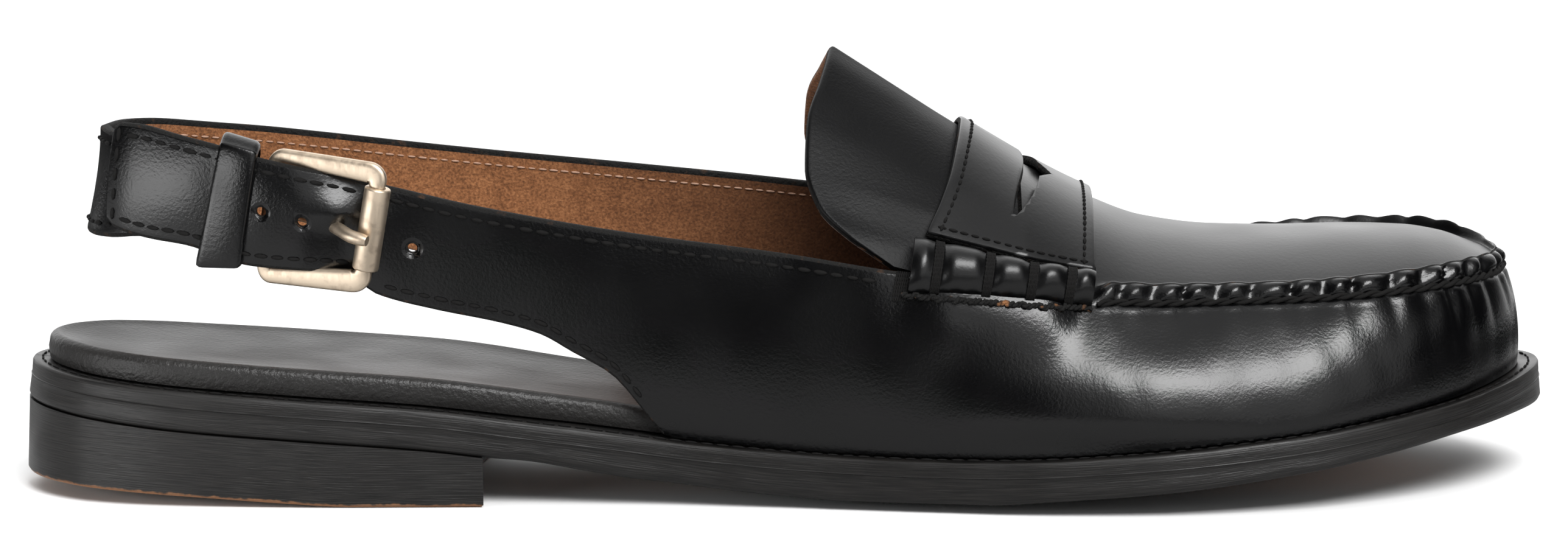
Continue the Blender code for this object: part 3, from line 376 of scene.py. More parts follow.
# %% Pieces that ride on the shoe
def piece(name, mesh, nodes=()):
    """A finished mesh becomes a piece that rides on the shoe and may stand for its solids."""
    thing = bpy.data.objects.new(name, mesh)
    bpy.context.scene.collection.objects.link(thing)
    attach(thing, "root")
    if nodes:
        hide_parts(*nodes)
    print(f"{name}: {sum(len(face.vertices) - 2 for face in mesh.polygons)} triangles")


print("solids to replace:", len(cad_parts))

# %% [markdown]
# ## Finishes that several materials share
# Black leather only shows by what it reflects, so its grain lives in the bump and the roughness, not
# in the colour. Two node groups do that: `grain` gives a pebbled height and a mask, `wear` gives fine
# dust and rubbed specks. Each material places them with its own sizes.

# %% Node groups
def new_group(name, inputs, outputs):
    group = bpy.data.node_groups.new(name, "ShaderNodeTree")
    for label, value in inputs.items():
        kind = "NodeSocketVector" if value is None else "NodeSocketFloat"
        socket = group.interface.new_socket(label, in_out="INPUT", socket_type=kind)
        if value is not None:
            socket.default_value = value
    for label, kind in outputs.items():
        group.interface.new_socket(label, in_out="OUTPUT", socket_type=kind)
    return group, group.nodes.new("NodeGroupInput"), group.nodes.new("NodeGroupOutput")


def add(tree, kind, links=None, **settings):
    """Adds a node, sets its properties and its inputs; a linked input is given as a socket."""
    node = tree.nodes.new(kind)
    for name, value in settings.items():
        setattr(node, name, value)
    for key, value in (links or {}).items():
        if isinstance(value, bpy.types.NodeSocket):
            tree.links.new(value, node.inputs[key])
        else:
            node.inputs[key].default_value = value
    return node


def math_node(tree, operation, first, second=0.0, clamp=False):
    return add(tree, "ShaderNodeMath", {0: first, 1: second}, operation=operation, use_clamp=clamp).outputs[0]


def make_grain():
    group, source, result = new_group(
        "grain", {"Place": None, "Size": 0.6}, {"Height": "NodeSocketFloat", "Mask": "NodeSocketFloat"})
    scale = math_node(group, "DIVIDE", 1000.0, source.outputs["Size"])
    pebble = add(group, "ShaderNodeTexNoise", {
        "Vector": source.outputs["Place"], "Scale": scale, "Detail": 2.0, "Roughness": 0.6})
    broad = add(group, "ShaderNodeTexNoise", {
        "Vector": source.outputs["Place"], "Scale": math_node(group, "MULTIPLY", scale, 0.05), "Detail": 1.0})
    group.links.new(pebble.outputs["Fac"], result.inputs["Height"])
    group.links.new(broad.outputs["Fac"], result.inputs["Mask"])
    return group


def make_wear():
    group, source, result = new_group(
        "wear", {"Place": None, "Size": 1.0, "Amount": 0.1}, {"Dust": "NodeSocketFloat"})
    scale = math_node(group, "DIVIDE", 1000.0, source.outputs["Size"])
    specks = add(group, "ShaderNodeTexNoise", {
        "Vector": source.outputs["Place"], "Scale": scale, "Detail": 2.0, "Roughness": 0.75})
    above = math_node(group, "SUBTRACT", specks.outputs["Fac"], 0.66)
    dust = math_node(group, "MULTIPLY", math_node(group, "MULTIPLY", above, 9.0, clamp=True),
                     source.outputs["Amount"])
    group.links.new(dust, result.inputs["Dust"])
    return group


GRAIN, WEAR = make_grain(), make_wear()
print("groups:", GRAIN.name, WEAR.name)


# %% A material and its nodes
class Finish:
    """A material with its Principled shader and the object's own coordinates at hand."""

    def __init__(self, name, roughness=0.5, metallic=0.0, **sockets):
        self.material = bpy.data.materials.new(name)
        self.material.use_nodes = True
        self.tree = self.material.node_tree
        self.shader = self.tree.nodes["Principled BSDF"]
        self.place = self.tree.nodes.new("ShaderNodeTexCoord").outputs["Object"]
        self.shader.inputs["Roughness"].default_value = roughness
        self.shader.inputs["Metallic"].default_value = metallic
        for label, value in sockets.items():
            self.shader.inputs[label.replace("_", " ")].default_value = value

    def add(self, kind, links=None, **settings):
        return add(self.tree, kind, links, **settings)

    def group(self, group, **values):
        node = self.add("ShaderNodeGroup", node_tree=group)
        self.tree.links.new(self.place, node.inputs["Place"])
        for label, value in values.items():
            node.inputs[label].default_value = value
        return node

    def noise(self, size, detail=3.0, stretch=None, place=None):
        place = place or self.place
        if stretch:
            place = self.add("ShaderNodeMapping", {"Vector": place, "Scale": stretch}).outputs["Vector"]
        node = self.add("ShaderNodeTexNoise", {"Vector": place, "Scale": 1000.0 / size, "Detail": detail})
        return node.outputs["Fac"]

    def ramp(self, value, *stops):
        node = self.add("ShaderNodeValToRGB", {"Fac": value})
        while len(node.color_ramp.elements) < len(stops):
            node.color_ramp.elements.new(0.5)
        for element, (place, colour) in zip(node.color_ramp.elements, stops):
            element.position = place
            element.color = (*colour, 1.0)
        return node.outputs["Color"]

    def mix(self, factor, first, second):
        node = self.add("ShaderNodeMix", data_type="RGBA")
        for socket, value in zip((node.inputs[0], node.inputs[6], node.inputs[7]), (factor, first, second)):
            if isinstance(value, bpy.types.NodeSocket):
                self.tree.links.new(value, socket)
            else:
                socket.default_value = (*value, 1.0) if isinstance(value, tuple) else value
        return node.outputs[2]

    def math(self, operation, first, second=0.0, clamp=False):
        return math_node(self.tree, operation, first, second, clamp)

    def span(self, value, low, high, out_low, out_high):
        node = self.add("ShaderNodeMapRange", {
            "Value": value, "From Min": low, "From Max": high, "To Min": out_low, "To Max": out_high})
        return node.outputs["Result"]

    def bump(self, height, depth, after=None):
        """Depth in millimetres of a height that runs from 0 to 1."""
        links = {"Height": height, "Distance": depth * MM, "Strength": 1.0}
        if after is not None:
            links["Normal"] = after
        return self.add("ShaderNodeBump", links).outputs["Normal"]

    def set(self, label, value):
        self.tree.links.new(value, self.shader.inputs[label])


print("grain is", GRAIN.interface.items_tree["Size"].default_value, "mm unless a material sets it")

# %% [markdown]
# ## Leather, suede, edges and thread
# The upper is black leather with a binder finish: a smooth coat over a fine pebble, so highlights are
# bright in the middle and grainy at their rim. The flesh side is brown suede, which is all nap and no
# gloss. Where the knife went through, the edge is dyed black, dull and fibrous.

# %% Polished leather
HOLES = ((-97.8, 56.3, 0.95), (-90.2, 54.4, 0.95), (-69.8, 49.0, 0.95))
RIM_START, RIM_END, RIM_DEPTH = 1.35, 2.1, 0.4


def strap_face(x, height):
    """Point on the outer face of the strap, on its lifted free end too."""
    return on_wall(x, height, STRAP_LIFT(angle_of_seam(x)))[0]


def polished(name, grain_size=0.6, grain_depth=0.05, gloss=0.25, shine=0.5, rims=()):
    finish = Finish(name, Specular_IOR_Level=shine)
    grain = finish.group(GRAIN, Size=grain_size)
    wear = finish.group(WEAR, Size=2.2, Amount=0.008)
    finish.set("Base Color", finish.mix(wear.outputs["Dust"], (0.0012, 0.0012, 0.0014), (0.05, 0.048, 0.046)))
    finish.set("Roughness", finish.span(grain.outputs["Mask"], 0.3, 0.7, gloss - 0.03, gloss + 0.05))
    normal = finish.bump(grain.outputs["Height"], grain_depth)
    for rim in rims:
        away = finish.add("ShaderNodeVectorMath", {0: finish.place, 1: tuple(rim * MM)}, operation="DISTANCE")
        ring = finish.span(away.outputs["Value"], RIM_START * MM, RIM_END * MM, 0.0, 1.0)
        normal = finish.bump(ring, RIM_DEPTH, after=normal)
    finish.set("Normal", normal)
    return finish.material


print(len(HOLES), "holes in the strap")

# %% Suede, cut edges and thread
def suede(name):
    finish = Finish(name, roughness=0.95, Specular_IOR_Level=0.15, Sheen_Weight=0.25, Sheen_Roughness=0.5)
    nap = finish.noise(0.5, 3.0)
    patch = finish.noise(5.0, 2.0)
    tone = finish.math("ADD", finish.math("MULTIPLY", nap, 0.75), finish.math("MULTIPLY", patch, 0.25))
    brown = finish.ramp(
        tone, (0.34, (0.108, 0.042, 0.0155)), (0.5, (0.2, 0.08, 0.031)), (0.68, (0.31, 0.135, 0.056)))
    place = finish.add("ShaderNodeSeparateXYZ", {"Vector": finish.place})
    # painted shade: the suede darkens towards the toe and below about 58 mm, where the inside of the shoe
    # lies in shadow
    painted_inner_shade = finish.math("MULTIPLY", finish.span(place.outputs["X"], -0.055, 0.005, 0.0, 0.75),
                       finish.span(place.outputs["Z"], 0.060, 0.056, 0.0, 1.0))
    finish.set("Base Color", finish.mix(painted_inner_shade, brown, (0.035, 0.0115, 0.004)))
    finish.set("Normal", finish.bump(nap, 0.35))
    return finish.material


def cut_edge(name, brown=0.12):
    finish = Finish(name, roughness=0.85, Specular_IOR_Level=0.3)
    fibre = finish.noise(0.55, 2.0)
    fleck = finish.noise(2.4, 2.0)
    show = finish.math("MULTIPLY", finish.math("SUBTRACT", fleck, 0.6), 6.0, clamp=True)
    show = finish.math("MULTIPLY", show, brown)
    finish.set("Base Color", finish.mix(show, (0.005, 0.0048, 0.0045), (0.3, 0.13, 0.05)))
    finish.set("Normal", finish.bump(fibre, 0.6))
    return finish.material


def thread(name, colour):
    finish = Finish(name, roughness=0.85, Specular_IOR_Level=0.2)
    lay = finish.noise(0.35, 2.0)
    dark = tuple(0.55 * part for part in colour)
    finish.set("Base Color", finish.mix(lay, dark, colour))
    finish.set("Normal", finish.bump(lay, 0.12))
    return finish.material


POLISHED = polished("polished_black_leather", rims=[strap_face(x, z) for x, z, _ in HOLES])
APRON_LEATHER = polished("smooth_apron_leather", grain_size=0.9, grain_depth=0.03, gloss=0.3)
ROLL_LEATHER = polished("roll_leather", grain_depth=0.03, gloss=0.31)
TONGUE_LEATHER = polished("soft_tongue_leather", grain_depth=0.07, gloss=0.46, shine=0.17)
SUEDE = suede("brown_suede")
CUT_EDGE = cut_edge("dyed_cut_edge")
FLECKED_EDGE = cut_edge("flecked_cut_edge", brown=0.8)
BLACK_THREAD = thread("black_thread", (0.006, 0.0056, 0.0054))
LIGHT_THREAD = thread("light_thread", (0.5, 0.31, 0.22))
print("leathers:", [material.name for material in bpy.data.materials])

# %% [markdown]
# ## The upper
# One sheet runs from the free strap end along the outer side, round the toe, back along the inner
# side and behind the heel. Rows are spaced in millimetres from the edges, so that the seam has fine
# rows for its pleats and every cut edge has rows to round it. The apron is woven in along the seam.

# %% Stations and rows of the upper
SEAM_ROWS = np.array([
    0, .15, .4, .75, 1.1, 1.45, 1.8, 2.1, 2.4, 2.65, 2.85, 3.05, 3.25, 3.5, 3.8, 4.2, 4.7, 5.2, 5.8, 6.4,
    7.0, 7.8, 8.6, 9.6, 10.8, 12.2, 13.8])
EDGE_ROWS = np.array([0, .15, .4, .8, 1.4, 1.9, 2.3, 2.7, 3.2])
MIDDLE_ROWS = 12
APRON_ROWS = np.array([0, .3, .7, 1.1, 1.5, 1.9, 2.4, 3.0, 3.8, 5.0, 6.6])
STRAP_CORNER = 2.6
THICKNESS = 2.0
EDGE_ROUND = 0.7
STITCH_INSET = 2.5
FULL_ROWS = len(SEAM_ROWS) + len(EDGE_ROWS) + MIDDLE_ROWS


def seam_run(side):
    """Distance along the top line, counted from the tip of the toe."""
    run = run_along(top_point(ALL_ANGLES, side))
    return run[-1] - run


RUN = {side: seam_run(side) for side in (OUTER, INNER)}
STEP_CHANGES_X, STATION_STEPS = (-40.0, 22.0, 58.0), (1.5, 2.0, 0.9, 0.68)
TIP_STEPS, TIP_ANGLE_STEP = np.array([0.0, 0.15, 0.4, 0.8, 1.5]), 0.0055
FINE_STEPS = 120


def stations():
    """Angles of the stations: far apart on the straps, close along the pleated seam."""
    run = RUN[OUTER]
    inside = [np.interp(angle_of_seam(x), ALL_ANGLES, run) for x in STEP_CHANGES_X]
    marks = [run[0], *inside, 0.0]
    places = []
    for start, end, step in zip(marks, marks[1:], STATION_STEPS):
        places.append(np.linspace(start, end, int((start - end) / step) + 1)[:-1])
    angles = np.interp(-np.concatenate(places), -run, ALL_ANGLES)
    tip = float(angle_of(STRAP_TIP))
    near_tip = tip + TIP_STEPS * TIP_ANGLE_STEP
    bar = float(angle_of(BACK_STRAP_END))
    special = np.concatenate([near_tip, [bar, APRON_ANGLE, float(angle_of(LOWER_END)), math.pi]])
    clear = [angle for angle in angles if np.min(np.abs(special - angle)) > 0.002]
    return np.unique(np.concatenate([clear, special])), tip, bar


def strip(angles, side, low, high):
    """Points up the wall at each station, with their distances from the top and the lower edge."""
    share = np.linspace(0.0, 1.0, FINE_STEPS)
    rises = low[:, None] + (high - low)[:, None] * share
    fine = wall(np.repeat(angles[:, None], FINE_STEPS, 1), side, rises)
    steps = np.linalg.norm(np.diff(fine, axis=1), axis=2)
    run = np.concatenate([np.zeros((len(angles), 1)), np.cumsum(steps, axis=1)], 1)
    points, climbs = [], []
    for line, place in zip(fine, run):
        length = place[-1]
        fit = min(1.0, 0.92 * length / (SEAM_ROWS[-1] + EDGE_ROWS[-1]))
        top, edge = length - fit * SEAM_ROWS[::-1], fit * EDGE_ROWS
        middle = np.linspace(edge[-1], top[0], MIDDLE_ROWS + 2)[1:-1]
        climb = np.concatenate([edge, middle, top])
        points.append(np.stack([np.interp(climb, place, line[:, axis]) for axis in range(3)], -1))
        climbs.append(climb)
    climbs = np.array(climbs)
    return np.array(points), climbs[:, -1:] - climbs, climbs


ANGLES, TIP, BAR = stations()
print(len(ANGLES), "stations,", FULL_ROWS, "rows")

# %% [markdown]
# ## Pleats along the seam
# On a moccasin seam the vamp is longer than the apron's edge, so the maker gathers it: each stitch
# pinches a small bead of leather up against the apron, and below the cord the spare leather runs out
# in puckers. A few waves in the distance along the seam and the distance below it give all of that.

# %% Relief of the seam
PLEATS_TO_X72 = 13
PITCH = float(np.interp(angle_of_seam(72.0), ALL_ANGLES, RUN[OUTER])) / PLEATS_TO_X72
RIDGE, RIDGE_FADE, LIP_WIDTH = 2.3, 4.8, 1.4
PLEAT_BULGE, PLEAT_VALLEY, CORD_DROP, SLANT = 0.9, 0.55, 3.0, 0.6


def gather(run):
    """Fullness of the pleats along the seam: 1 on a bead, 0 in the pinch between two."""
    wander = 0.10 * np.sin(run * 0.23) + 0.07 * np.sin(run * 0.61 + 1.0)
    return (0.5 + 0.5 * np.cos(2.0 * math.pi * (run / PITCH + wander))) ** 0.6


def lip_height(run):
    """Height of the raised lip: lower at the tip of the toe, a little higher on each bead."""
    return (RIDGE + 0.3 * (gather(run) - 0.5)) * (1.0 - 0.45 * (1.0 - smoothstep(0.0, 22.0, run)))


def inner_lip(run):
    """The lip of the inner side stands taller beside the toes, and shows above the apron."""
    return 1.0 + 0.7 * smoothstep(6.0, 28.0, run) * (1.0 - 0.75 * smoothstep(46.0, 74.0, run))


def lip_lift(drop, run, amount):
    return amount * lip_height(run) * (1.0 - smoothstep(0.3, RIDGE_FADE, drop))


def seam_relief(drop, run, amount):
    """How far the wall stands out near the seam, by the distance below its top."""
    bead = gather(run - SLANT * (np.minimum(drop, CORD_DROP) - 0.5 * CORD_DROP))
    toe = 1.0 - smoothstep(25.0, 60.0, run)
    tall = np.sin(math.pi * np.clip((drop - 0.3) / (CORD_DROP - 0.3), 0.0, 1.0)) ** 0.75
    pleat = tall * (PLEAT_BULGE * bead - PLEAT_VALLEY * (1.0 - bead))
    groove = -0.5 * np.exp(-((drop - CORD_DROP) / 0.5) ** 2)
    below = np.clip(drop - CORD_DROP, 0.0, None)
    fade = np.exp(-below / (2.6 + 4.0 * toe)) * smoothstep(0.0, 0.9, below)
    pucker = (0.6 + 0.25 * toe) * (bead - 0.5) * fade
    return amount * (pleat + groove + pucker)


def apron_lift(inset, run, amount):
    return amount * lip_height(run) * np.exp(-(inset / LIP_WIDTH) ** 2.4)


def ridge_amount(angle):
    return smoothstep(57.5, 62.0, TOP["x"](angle))


print(f"pleats every {PITCH:.2f} mm")

# %% [markdown]
# ## Creases placed one by one
# The vamp isn't quite smooth where the foot bends: soft troughs run down from the pleats and across
# the side of the forefoot. Each one is a line between two places on the outer side with a width and a
# depth, taken off the wall as a soft trough. The other way round, the ball of the foot swells the side
# out, the roll presses a soft ridge up below it, and the strap bulges before it dives under the roller.

# %% Crease table
# start x and z, end x and z, width and depth of each crease
CREASES = (
    (62.0, 30.5, 66.0, 22.5, 2.6, 0.16), (70.5, 31.0, 73.5, 20.5, 3.0, 0.15),
    (78.0, 30.0, 82.5, 21.5, 2.6, 0.14), (85.5, 30.0, 88.0, 19.5, 3.2, 0.18),
    (93.5, 31.0, 98.0, 22.0, 2.8, 0.16), (102.0, 32.0, 106.5, 23.5, 2.6, 0.16),
    (109.5, 33.0, 113.0, 25.0, 2.4, 0.14), (34.0, 33.0, 29.0, 20.0, 5.0, 0.16),
    (12.0, 40.0, 2.0, 24.0, 7.0, 0.18))


def crease_depth(points):
    depth = np.zeros(points.shape[:-1])
    for x0, z0, x1, z1, width, deep in CREASES:
        start, run = np.array([x0, z0]), np.array([x1 - x0, z1 - z0])
        away = points[..., [0, 2]] - start
        part = np.clip((away @ run) / (run @ run), 0.0, 1.0)
        gap = np.linalg.norm(away - part[..., None] * run, axis=-1)
        depth += deep * np.exp(-(gap / width) ** 2)
    return depth


BALL_SWELL, BALL_X, BALL_BACK, BALL_FRONT = 1.9, 66.0, 26.0, 18.0
BALL_FROM_Z, BALL_TO_Z = (12.0, 19.0), (38.0, 22.0)
ROLL_RIDGE = 1.7
RIDGE_FROM_X, RIDGE_TO_X = (20.0, 32.0), (56.5, 48.0)
RIDGE_FROM_Z, RIDGE_TO_Z = (26.0, 38.5), (47.0, 42.5)
BEND_SWELL, BEND_X, BEND_Z, BEND_REACH = 2.3, -84.0, 55.5, 4.6
BEND_FROM_Z = (51.5, 56.5)


def side_swell(points):
    x, z = points[..., 0], points[..., 2]
    reach = np.where(x < BALL_X, BALL_BACK, BALL_FRONT)
    ball = BALL_SWELL * np.exp(-((x - BALL_X) / reach) ** 2)
    ball = ball * smoothstep(*BALL_TO_Z, z) * smoothstep(*BALL_FROM_Z, z)
    bend = BEND_SWELL * np.exp(-((x - BEND_X) ** 2 + (z - BEND_Z) ** 2) / BEND_REACH ** 2)
    bend = bend * smoothstep(*BEND_FROM_Z, z)
    ridge = ROLL_RIDGE * smoothstep(*RIDGE_FROM_X, x) * smoothstep(*RIDGE_TO_X, x)
    return ball + bend + ridge * smoothstep(*RIDGE_FROM_Z, z) * smoothstep(*RIDGE_TO_Z, z)


print(len(CREASES), "creases")

# %% [markdown]
# ## From rows to one sheet
# The real upper is several panels sewn edge to edge, yet it acts as one skin over the last. Each panel
# could be a mesh of its own, but then every seam would need closing. Here all stretches share one grid
# of stations and rows, and the apron's rows end on the wall's top points, so that nothing can gap.

# %% Weave the upper
FAR, SAME = 99.0, 1e-9


def quarter_round(away, radius=EDGE_ROUND):
    """How far a rounded edge falls off, by the distance from its end."""
    inner = np.clip(radius - away, 0.0, radius)
    return radius - np.sqrt(np.maximum(radius ** 2 - inner ** 2, 0.0))


PILLOW, KEEPER_HOLD, KEEPER_MIDDLE_X, KEEPER_HALF = 0.95, 0.6, -105.0, 5.0
PILLOW_END_X = (-82.0, -68.0)


def strap_pillow(x, across):
    """The padded strap swells between its edges, less so where the keeper holds it."""
    held = 1.0 - KEEPER_HOLD * np.exp(-((x - KEEPER_MIDDLE_X) / KEEPER_HALF) ** 2)
    return PILLOW * (1.0 - (2.0 * across - 1.0) ** 2) * held * (1.0 - smoothstep(*PILLOW_END_X, x))


def stretch_of(kind):
    """One stretch of the sheet: its stations, side and the points of its middle surface."""
    if kind == "free":
        angles, side = ANGLES[ANGLES >= TIP - SAME], OUTER
    elif kind == "inner":
        angles, side = ANGLES[1:-1][::-1], INNER
    else:
        angles, side = ANGLES[ANGLES <= BAR + SAME], OUTER
    if kind == "under":
        low_z, high_z = BACK_STRAP["low"](angles), BACK_STRAP["top"](angles)
    else:
        low_z, high_z = LOWER[SIDE[side]](angles), top_point(angles, side)[:, 2]
    end_gap = np.full(len(angles), FAR)
    if kind != "inner":
        end_angle = TIP if kind == "free" else BAR
        run = np.interp(angles, ALL_ANGLES, RUN[OUTER])
        end_gap = np.abs(run - np.interp(end_angle, ALL_ANGLES, RUN[OUTER]))
        corner = quarter_round(end_gap, STRAP_CORNER)
        low_z, high_z = low_z + corner, high_z - corner
    low, high = rise_at(angles, side, low_z), rise_at(angles, side, high_z)
    free_low = angles <= float(angle_of(LOWER_END)) + SAME
    low = np.where(free_low, low, 0.0)
    if kind != "under":
        high = np.where(end_gap > STRAP_CORNER, 1.0, high)
    points, drop, climb = strip(angles, side, low, high)
    if kind == "free":
        across = climb / (climb + drop)
        lift = STRAP_LIFT(angles)[:, None] + strap_pillow(TOP["x"](angles)[:, None], across)
        points += lift[..., None] * raise_flat(outward(angles, side), np.zeros(len(angles)))[:, None]
    return {"angles": angles, "side": side, "points": points, "drop": drop, "climb": climb,
            "end_gap": end_gap, "free_low": free_low, "free_top": angles < APRON_ANGLE - SAME,
            "run": np.interp(angles, ALL_ANGLES, RUN[side]), "amount": ridge_amount(angles)}


STRETCH = {kind: stretch_of(kind) for kind in ("free", "inner", "under")}
ROWS_OF = list(STRETCH.values())
wall_points = np.concatenate([part["points"] for part in ROWS_OF]).reshape(-1, 3)
wall_faces = grid_faces(len(wall_points) // FULL_ROWS, FULL_ROWS)
print(len(wall_points), "points in the wall")

# %% Weave the apron in
ANGLE_DIGITS, APRON_MIDDLE, NARROW_HALF = 9, 18, 9.0


def stations_of(kind, first):
    return {round(float(angle), ANGLE_DIGITS): first + n for n, angle in enumerate(STRETCH[kind]["angles"])}


outer_station = stations_of("free", 0)
inner_station = stations_of("inner", len(outer_station))
apron_points, apron_lifts, apron_rows = [], [], []
for angle in ANGLES[ANGLES >= APRON_ANGLE - SAME]:
    key = round(float(angle), ANGLE_DIGITS)
    outer_corner = outer_station[key] * FULL_ROWS + FULL_ROWS - 1
    inner_corner = inner_station.get(key, outer_station[key]) * FULL_ROWS + FULL_ROWS - 1
    half = 0.5 * np.linalg.norm(top_point(angle, INNER) - top_point(angle, OUTER))
    edge = APRON_ROWS[1:] * min(1.0, half / NARROW_HALF) / max(half, 1e-6)
    middle = np.linspace(-1.0 + edge[-1], 1.0 - edge[-1], APRON_MIDDLE)[1:-1]
    shares = np.concatenate([-1.0 + edge, middle, (1.0 - edge)[::-1]])
    if angle > math.pi - SAME:
        apron_rows.append([outer_corner] * (len(shares) + 2))
        continue
    first = len(wall_points) + sum(len(row) for row in apron_points)
    apron_points.append(apron(np.full(len(shares), angle), shares))
    outer_run, inner_run = (np.interp(angle, ALL_ANGLES, RUN[side]) for side in (OUTER, INNER))
    runs = np.where(shares < 0.0, outer_run, inner_run)
    lift = apron_lift((1.0 - np.abs(shares)) * half, runs, ridge_amount(angle))
    apron_lifts.append(lift * np.where(shares < 0.0, 1.0, inner_lip(inner_run)))
    apron_rows.append([outer_corner, *range(first, first + len(shares)), inner_corner])
apron_rows = np.array(apron_rows)
apron_faces = np.stack([
    apron_rows[:-1, :-1], apron_rows[1:, :-1], apron_rows[1:, 1:], apron_rows[:-1, 1:]], -1)
sheet = np.concatenate([wall_points, *apron_points])
upper_faces = clean_faces(np.concatenate([wall_faces, apron_faces.reshape(-1, 4)]))
upper_normals = sheet_normals(sheet, upper_faces)
print(len(sheet), "points in the sheet")

# %% [markdown]
# ## Thickness and edges
# Leather has a polished face, a rough flesh side and edges that are turned or cut. A Solidify modifier
# would give both faces the same relief. Two skins, moved along the normals, keep pleats and creases on
# the outside only, and marks on the faces choose the material near each edge.

# %% Give the sheet its two skins
def skins(part, normals):
    """Outside and flesh side of one stretch of the wall."""
    drop, climb = part["drop"], part["climb"]
    amount = part["amount"][:, None] * np.ones_like(drop)
    run = part["run"][:, None]
    facing = normals * np.array([1.0, 1.0, 0.4])
    facing /= np.linalg.norm(facing, axis=-1, keepdims=True)
    relief = seam_relief(drop, run, amount)[..., None] * facing
    relief[..., 2] += lip_lift(drop, run, amount) * (inner_lip(run) if part["side"] == INNER else 1.0)
    rounding = quarter_round(np.where(part["free_top"][:, None], drop, FAR))
    rounding = np.maximum(rounding, quarter_round(np.where(part["free_low"][:, None], climb, FAR)))
    rounding = np.maximum(rounding, quarter_round(part["end_gap"][:, None] * np.ones_like(drop)))
    hollow = crease_depth(part["points"]) - side_swell(part["points"]) if part["side"] == OUTER else 0.0
    outside = part["points"] + relief - normals * (rounding + hollow)[..., None]
    inside = part["points"] - normals * (THICKNESS - 0.7 * rounding)[..., None]
    return outside, inside


outside_parts, inside_parts, first = [], [], 0
for part in ROWS_OF:
    count = len(part["points"]) * FULL_ROWS
    part["normals"] = upper_normals[first:first + count].reshape(-1, FULL_ROWS, 3)
    part["outside"], part["inside"] = skins(part, part["normals"])
    outside_parts.append(part["outside"].reshape(-1, 3))
    inside_parts.append(part["inside"].reshape(-1, 3))
    first += count
flat = sheet[first:]
apron_up = np.zeros_like(flat)
apron_up[:, 2] = np.concatenate(apron_lifts)
outside_parts.append(flat + apron_up)
inside_parts.append(flat - upper_normals[first:] * THICKNESS)
upper_outside, upper_inside = np.concatenate(outside_parts), np.concatenate(inside_parts)
print("relief up to", round(float(np.abs(upper_outside - sheet).max()), 2), "mm")

# %% Mark the faces and close the upper
LIP, TURNED_EDGE, MATT_EDGE, SEAM_START = 0.5, 1.15, 0.85, 0.2


def per_point(name, on_apron):
    """A value of the wall's stations or rows for every point of the sheet."""
    rows = [part[name] if part[name].ndim > 1 else np.repeat(part[name], FULL_ROWS) for part in ROWS_OF]
    return np.concatenate([row.reshape(-1) for row in rows] + [np.full(len(flat), on_apron)])


drop_of, climb_of = per_point("drop", FAR), per_point("climb", FAR)
amount_of = per_point("amount", 0.0)
free_top, free_low = per_point("free_top", False), per_point("free_low", False)
marks, back_marks = [], []
for face in upper_faces:
    corners = list(face)
    low = np.max(drop_of[corners])
    at_lip = low < LIP and np.min(amount_of[corners]) > SEAM_START
    at_top = low < MATT_EDGE and free_top[corners].all()
    at_base = np.max(climb_of[corners]) < MATT_EDGE and free_low[corners].all()
    marks.append(2 if at_lip or at_top or at_base else 3 if low == FAR else 0)
    back_marks.append(2 if low < TURNED_EDGE and free_top[corners].all() else 1)
upper_mesh = leather("upper", upper_faces, upper_outside, upper_inside,
                     [POLISHED, SUEDE, CUT_EDGE, APRON_LEATHER], marks, back_marks)
print("upper sheet closed")

# %% [markdown]
# ## Holes in the strap
# A strap has a row of holes to choose from, and the three that the prong leaves free are cut here. They
# could be dark discs, but a boolean gives them depth: the punches are short bars across the leather, and
# the wall of each hole takes the punch's own material, which is raw brown leather.

# %% Punch the holes
def smooth_path(points, steps):
    points = np.asarray(points, float)
    run = run_along(points)
    place = np.linspace(0.0, run[-1], steps)
    return np.stack([spline(run, points[:, axis])(place) for axis in range(3)], -1)


TUBE_SIDES = 16
HELPER_AXIS = np.array([0.3, -0.4, 0.87])


def tube_loops(path, radius, ends=None):
    """Loops of a round bar along a path; ends gives a share of the radius along it."""
    path = np.asarray(path, float)
    tangent = np.gradient(path, axis=0)
    tangent /= np.linalg.norm(tangent, axis=1, keepdims=True)
    loops = []
    for number, (point, along) in enumerate(zip(path, tangent)):
        across = np.cross(along, HELPER_AXIS)
        across /= np.linalg.norm(across)
        other = np.cross(along, across)
        turn = np.linspace(0.0, 2.0 * math.pi, TUBE_SIDES, endpoint=False)[:, None]
        size = radius * (1.0 if ends is None else ends[number])
        loops.append(point + size * (np.cos(turn) * across + np.sin(turn) * other))
    return loops


def punch(target, meshes):
    host = bpy.data.objects.new("host", target)
    bpy.context.scene.collection.objects.link(host)
    bars = []
    for mesh in meshes:
        bar = bpy.data.objects.new(mesh.name, mesh)
        bpy.context.scene.collection.objects.link(bar)
        cut = host.modifiers.new(mesh.name, "BOOLEAN")
        cut.operation, cut.solver, cut.object, cut.material_mode = "DIFFERENCE", "EXACT", bar, "TRANSFER"
        bars.append(bar)
    bpy.context.view_layer.update()
    done = bpy.data.meshes.new_from_object(host.evaluated_get(bpy.context.evaluated_depsgraph_get()))
    for thing in (host, *bars):
        bpy.data.objects.remove(thing, do_unlink=True)
    return done


PUNCH_REACH = 6.0
punches = []
for x, z, radius in HOLES:
    middle, base = on_wall(x, z, [1.0, 0.0])
    reach = PUNCH_REACH * (middle - base)
    loops = tube_loops([middle - reach, middle + reach], radius)
    punches.append(loft(f"punch_{len(punches)}", loops, [FLECKED_EDGE]))
upper_mesh = punch(upper_mesh, punches)
upper_mesh.name = "upper"
piece("upper_leather", upper_mesh, ["upper"])

# %% [markdown]
# ## Thread that follows an edge
# Stitches repeat along a path, which is work for Geometry Nodes: the tree turns each line into evenly
# spaced points, lays a small rounded stitch along the line at every point and makes the whole row one
# mesh. Its inputs are the sizes that a sewer would set on the machine.

